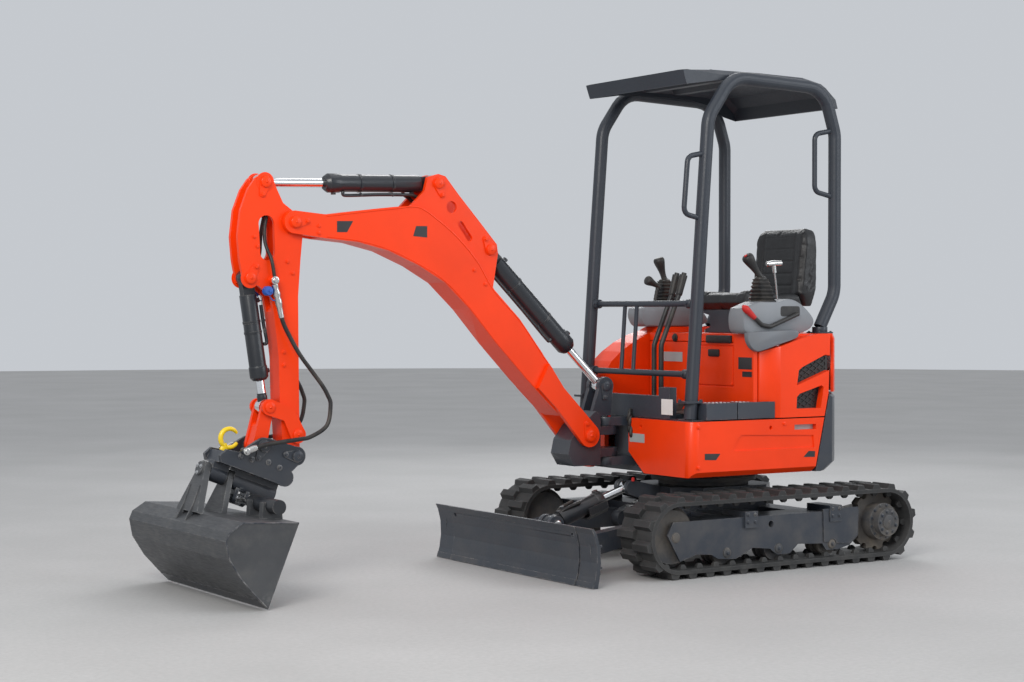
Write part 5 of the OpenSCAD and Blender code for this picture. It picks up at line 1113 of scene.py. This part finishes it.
class EXCAVATOR_OT_running(bpy.types.Operator):
    """Drive nubs, hub bolts and roller caps of the tracks"""

    bl_idname = "excavator.running"
    bl_label = "Running gear"

    def execute(self, context):
        self.nubs()
        bolts = Kit("hub_bolts", "undercarriage", "frame_dark")
        caps = Kit("roller_caps", "undercarriage", "cast_iron")
        hub_y, rim_y, frame_y = 0.6196, 0.585, 0.597
        hub = [(0.034, -0.002), (0.034, 0.003), (0.028, 0.007), (0.008, 0.008), (0.007, 0.011)]
        roller = [(0.021, -0.004), (0.021, 0.004), (0.017, 0.007), (0.006, 0.007)]
        idler = [(0.021, -0.004), (0.021, 0.003), (0.017, 0.005), (0.006, 0.005)]
        for s in SIDES:
            axis = (0, s, 0)
            # Rings of bolts on the sprocket: count, shift, radius, Y and bolt radius
            for count, shift, r, y, size in ((9, 0.0, 0.05, hub_y, 0.0065), (12, 0.5, 0.077, rim_y + 0.0002, 0.0055)):
                for k in range(count):
                    w = TURN * (k + shift) / count
                    bolts.bolt((-WHEEL_X + r * math.cos(w), s * y, AXLE_Z + r * math.sin(w)), axis, size)
            caps.lathe((-WHEEL_X, s * hub_y, AXLE_Z), axis, hub, 32)
            for x in (0.3296, 0.0295, -0.2903):
                caps.lathe((x, s * rim_y, 0.0954), axis, roller, 24)
                bolts.bolt((x, s * 0.5918, 0.0954), axis, 0.007)
            caps.lathe((WHEEL_X, s * rim_y, AXLE_Z), axis, idler, 24)
            for x in (0.1968, -0.3075):
                for dx, z in ((-0.02, 0.225), (0.02, 0.225), (-0.02, 0.258), (0.02, 0.258)):
                    bolts.bolt((x + dx, s * frame_y, z), axis, 0.0065)
        bolts.done()
        caps.done()
        red = Kit("tension_cap", "undercarriage", "cap_red")
        red.lathe((0.455, 0.052, 0.385), UP, [(0.008, -0.004), (0.008, 0.01), (0.004, 0.014)], 14)
        red.done()
        return {"FINISHED"}

    def nubs(self):
        """Two rows of drive nubs inside each track, evenly along its loop."""
        kit = Kit("drive_nubs", "undercarriage", "rubber")
        count, flat, arc = 36, 2 * WHEEL_X, math.pi * BELT_R
        for i in range(count):
            d = (i + 0.5) / count * 2 * (flat + arc)
            # The lower run and the rear bend are the upper run and the front bend, turned half round
            sign = 1 if d < flat + arc else -1
            d -= 0 if sign == 1 else flat + arc
            w = max(0.0, d - flat) / BELT_R
            out = Vector((math.sin(w), 0, math.cos(w))) * sign
            at = Vector((sign * (min(d, flat) - WHEEL_X), 0, AXLE_Z)) + out * BELT_R
            way = Vector((0, 1, 0)).cross(out)
            for y in (0.4415, 0.5685, -0.4415, -0.5685):
                base = at + Vector((0, y, 0)) + out * 0.002
                rings = []
                for high, a, b in ((0.0, 0.017, 0.012), (0.013, 0.014, 0.01), (0.021, 0.008, 0.006)):
                    mid = base - out * high
                    corners = ((-1, -1), (1, -1), (1, 1), (-1, 1))
                    rings.append([mid + way * (a * p) + Vector((0, b * q, 0)) for p, q in corners])
                kit.grid(rings)
        kit.done(0.0012)


class EXCAVATOR_OT_blade(bpy.types.Operator):
    """Wear strip, gussets and weld seams of the blade"""

    bl_idname = "excavator.blade"
    bl_label = "Blade"

    def execute(self, context):
        steel = Kit("blade_edge", "blade", "hitch_dark")
        for y0, y1, back in ((-0.645, -0.519, 0.004), (-0.513, 0.513, 0.0), (0.519, 0.645, 0.004)):
            edge = ((1.1042, 0.0015), (1.0968, 0.026), (1.099, 0.0265), (1.1062, 0.0015))
            steel.slab([(x - back, z) for x, z in edge], y0, y1)
        steel.done(0.0005)
        dark = Kit("blade_gussets", "blade", "blade_dark")
        seams = Kit("blade_weld_seams", "blade", "hitch_dark")
        feed = Kit("blade_hoses", "blade_barrel", "hose_rubber")
        gusset = ((1.066, 0.636), (1.06, 0.436), (1.034, 0.436), (1.034, 0.56), (1.046, 0.636))
        hose = ((0.838, 0.012, 0.25), (0.815, 0.02, 0.268), (0.78, 0.026, 0.282), (0.74, 0.03, 0.296))
        for s in SIDES:
            for low in (0.08, 0.172):
                dark.grid([[Vector((x, s * y, z)) for x, y in gusset] for z in (low, low + 0.01)])
            for y in (0.25, 0.31):
                seams.rod([(1.0575, s * y, z) for z in (0.055, 0.1, 0.152)], 0.005, 8, 4)
            seams.rod([(x, s * 0.25, 0.143) for x in (0.828, 0.9, 0.982)], 0.004, 8, 3)
            feed.rod([(x, s * y, z) for x, y, z in hose], 0.008, 10, 5)
        dark.done(0.001)
        seams.done()
        feed.done()
        return {"FINISHED"}


class EXCAVATOR_OT_bucket(bpy.types.Operator):
    """Cutting edge, side plates and weld seams of the bucket"""

    bl_idname = "excavator.bucket"
    bl_label = "Bucket"

    def execute(self, context):
        tip = (TIP_PIN[0] + BUCKET_SPAN * 0.9428, TIP_PIN[1] - BUCKET_SPAN * 1.6034)

        def at(s):
            """A place in X and Z, in bucket spans from the cutting edge."""
            return Vector((tip[0] + BUCKET_SPAN * s[0], tip[1] + BUCKET_SPAN * s[1]))

        half = 0.495
        edge = Kit("bucket_edge", "bucket", "hitch_dark")
        p = at((0.0, 0.004))
        d = (at((0.154, 0.154)) - p).normalized()
        n = Vector((d.y, -d.x)) * 0.0025
        q = p + d * 0.052
        edge.slab((p, p + n, q + n, q), BOOM_Y - half + 0.002, BOOM_Y + half - 0.002)
        edge.done(0.0004)
        shell = (
            (-0.391, 0.951), (0.306, 0.994), (0.474, 0.891), (0.517, 0.791),
            (0.477, 0.58), (0.326, 0.34), (0.154, 0.154), (0.02, 0.02),
        )
        seams = Kit("bucket_weld_seams", "bucket", "hitch_dark")
        mid = at((0.16, 0.6))
        line = [at(k) + (mid - at(k)).normalized() * 0.004 for k in shell]
        for s in SIDES:
            seams.rod([beside(k, s * (half - 0.0005)) for k in line], 0.0032, 8, 1)
        for out in (-0.052, -0.04, 0.04, 0.052):
            seams.rod([beside(k, out) for k in ((2.6275, 0.345), (2.612, 0.39), (2.598, 0.43))], 0.0028, 6, 2)
        seams.done()
        ribs = Kit("bucket_ear_ribs", "bucket", "bucket_shell")
        outline = (
            (2.586, 0.459), (2.625, 0.3565), (2.626, 0.334), (2.657, 0.318),
            (2.656, 0.326), (2.62, 0.39), (2.593, 0.462),
        )
        for y in (BOOM_Y - 0.046, BOOM_Y + 0.046):
            ribs.slab(outline, y - 0.005, y + 0.005)
        ribs.done(0.001)
        bolts = Kit("tilt_pin_bolts", "bucket", "steel")
        c, s = math.cos(math.radians(TILT_DEG)), math.sin(math.radians(TILT_DEG))
        ahead, ring = 0.024, 0.019
        for k in range(3):
            w = TURN * k / 3 + 0.5
            h = ring * math.sin(w)
            place = (TILT_PIN[0] + ahead * c - h * s, TILT_PIN[1] + ahead * s + h * c)
            bolts.bolt(beside(place, ring * math.cos(w)), (c, 0, s), 0.006)
        bolts.done()
        return {"FINISHED"}


class EXCAVATOR_OT_stage(bpy.types.Operator):
    """A pale floor, soft light and the camera"""

    bl_idname = "excavator.stage"
    bl_label = "Stage"

    def execute(self, context):
        scene = context.scene
        floor = Shader("floor")
        speck = floor.ramp(floor.noise(46.0, 6.0, 0.7), 0.35, 0.65)
        cloud = floor.ramp(floor.noise(0.9, 5.0), 0.3, 0.7)
        tone = floor.mix(cloud, (0.4, 0.396, 0.392), (0.46, 0.456, 0.452))
        floor.set(Base_Color=floor.mix(floor.math("MULTIPLY", speck, 0.35), tone, (0.31, 0.307, 0.304)), Roughness=0.85)
        floor.bump(speck, 0.12, 0.002)
        kit = Kit("floor", None, "floor")
        MATS["floor"] = floor.mat
        kit.lathe((0, 0, -0.001), (0, 0, -1), [(30.0, 0.0), (30.0, 0.05)], 64)
        kit.mesh()

        world = bpy.data.worlds.new("studio")
        world.use_nodes = True
        tree = world.node_tree
        back = tree.nodes["Background"]
        back.inputs["Color"].default_value = (0.93, 0.96, 1.0, 1.0)
        back.inputs["Strength"].default_value = 0.78
        seen = tree.nodes.new("ShaderNodeBackground")
        seen.inputs["Color"].default_value = (0.56, 0.585, 0.62, 1.0)
        path = tree.nodes.new("ShaderNodeLightPath")
        pick = tree.nodes.new("ShaderNodeMixShader")
        seen_by = path.outputs["Is Camera Ray"]
        for ray in ("Is Glossy Ray", "Is Transmission Ray"):
            either = tree.nodes.new("ShaderNodeMath")
            either.operation = "MAXIMUM"
            tree.links.new(seen_by, either.inputs[0])
            tree.links.new(path.outputs[ray], either.inputs[1])
            seen_by = either.outputs[0]
        tree.links.new(seen_by, pick.inputs[0])
        tree.links.new(back.outputs[0], pick.inputs[1])
        tree.links.new(seen.outputs[0], pick.inputs[2])
        tree.links.new(pick.outputs[0], tree.nodes["World Output"].inputs["Surface"])
        scene.world = world
        middle = Vector((0.7, 0.0, 0.8))
        for name, place, size, power, warm in (
            ("key", (6.4, 4.6, 4.8), 3.4, 320.0, (1.0, 0.97, 0.93)),
            ("fill", (-3.5, 5.0, 3.2), 4.0, 110.0, (0.92, 0.96, 1.0)),
            ("rim", (-3.0, -4.5, 4.5), 3.5, 120.0, (1.0, 1.0, 1.0)),
            ("top", (0.6, 0.0, 6.0), 5.0, 45.0, (1.0, 1.0, 1.0)),
        ):
            light = bpy.data.lights.new(name, "AREA")
            light.shape, light.size, light.energy, light.color = "DISK", size, power, warm
            lamp = bpy.data.objects.new(name, light)
            lamp.location = place
            lamp.rotation_euler = (middle - lamp.location).to_track_quat("-Z", "Y").to_euler()
            scene.collection.objects.link(lamp)

        cam = bpy.data.cameras.new("camera")
        cam.sensor_width, cam.lens = 36.0, settings().lens
        cam.dof.use_dof = False
        eye = bpy.data.objects.new("camera", cam)
        # The photo's camera, solved from the outlines of tracks, blade and roof
        yaw, pitch = math.radians(-122.818), math.radians(-0.912)
        look = Vector((math.cos(yaw) * math.cos(pitch), math.sin(yaw) * math.cos(pitch), math.sin(pitch)))
        eye.location = (5.794, 7.294, 1.175)
        eye.rotation_euler = look.to_track_quat("-Z", "Y").to_euler()
        scene.collection.objects.link(eye)
        scene.camera = eye
        scene.view_settings.view_transform = "Standard"
        return {"FINISHED"}


PARTS = (
    EXCAVATOR_OT_paint,
    EXCAVATOR_OT_hoses,
    EXCAVATOR_OT_seat,
    EXCAVATOR_OT_pins,
    EXCAVATOR_OT_front,
    EXCAVATOR_OT_house,
    EXCAVATOR_OT_canopy,
    EXCAVATOR_OT_controls,
    EXCAVATOR_OT_running,
    EXCAVATOR_OT_blade,
    EXCAVATOR_OT_bucket,
)


class EXCAVATOR_PT_panel(bpy.types.Panel):
    """Lists the finishing steps"""

    bl_idname = "EXCAVATOR_PT_panel"
    bl_label = "Mini excavator"
    bl_space_type = "VIEW_3D"
    bl_region_type = "UI"
    bl_category = "Excavator"

    def draw(self, context):
        for name in ExcavatorLook.__annotations__:
            self.layout.prop(context.scene.excavator_look, name)
        for op in PARTS + (EXCAVATOR_OT_stage,):
            self.layout.operator(op.bl_idname)


CLASSES = (ExcavatorLook,) + PARTS + (EXCAVATOR_OT_stage, EXCAVATOR_PT_panel)


def register():
    for cls in CLASSES:
        bpy.utils.register_class(cls)
    bpy.types.Scene.excavator_look = bpy.props.PointerProperty(type=ExcavatorLook)


def unregister():
    del bpy.types.Scene.excavator_look
    for cls in reversed(CLASSES):
        bpy.utils.unregister_class(cls)


def main():
    register()
    bpy.ops.excavator.stage()
    for op in PARTS:
        group, name = op.bl_idname.split(".")
        getattr(getattr(bpy.ops, group), name)()


if __name__ == "__main__":
    main()
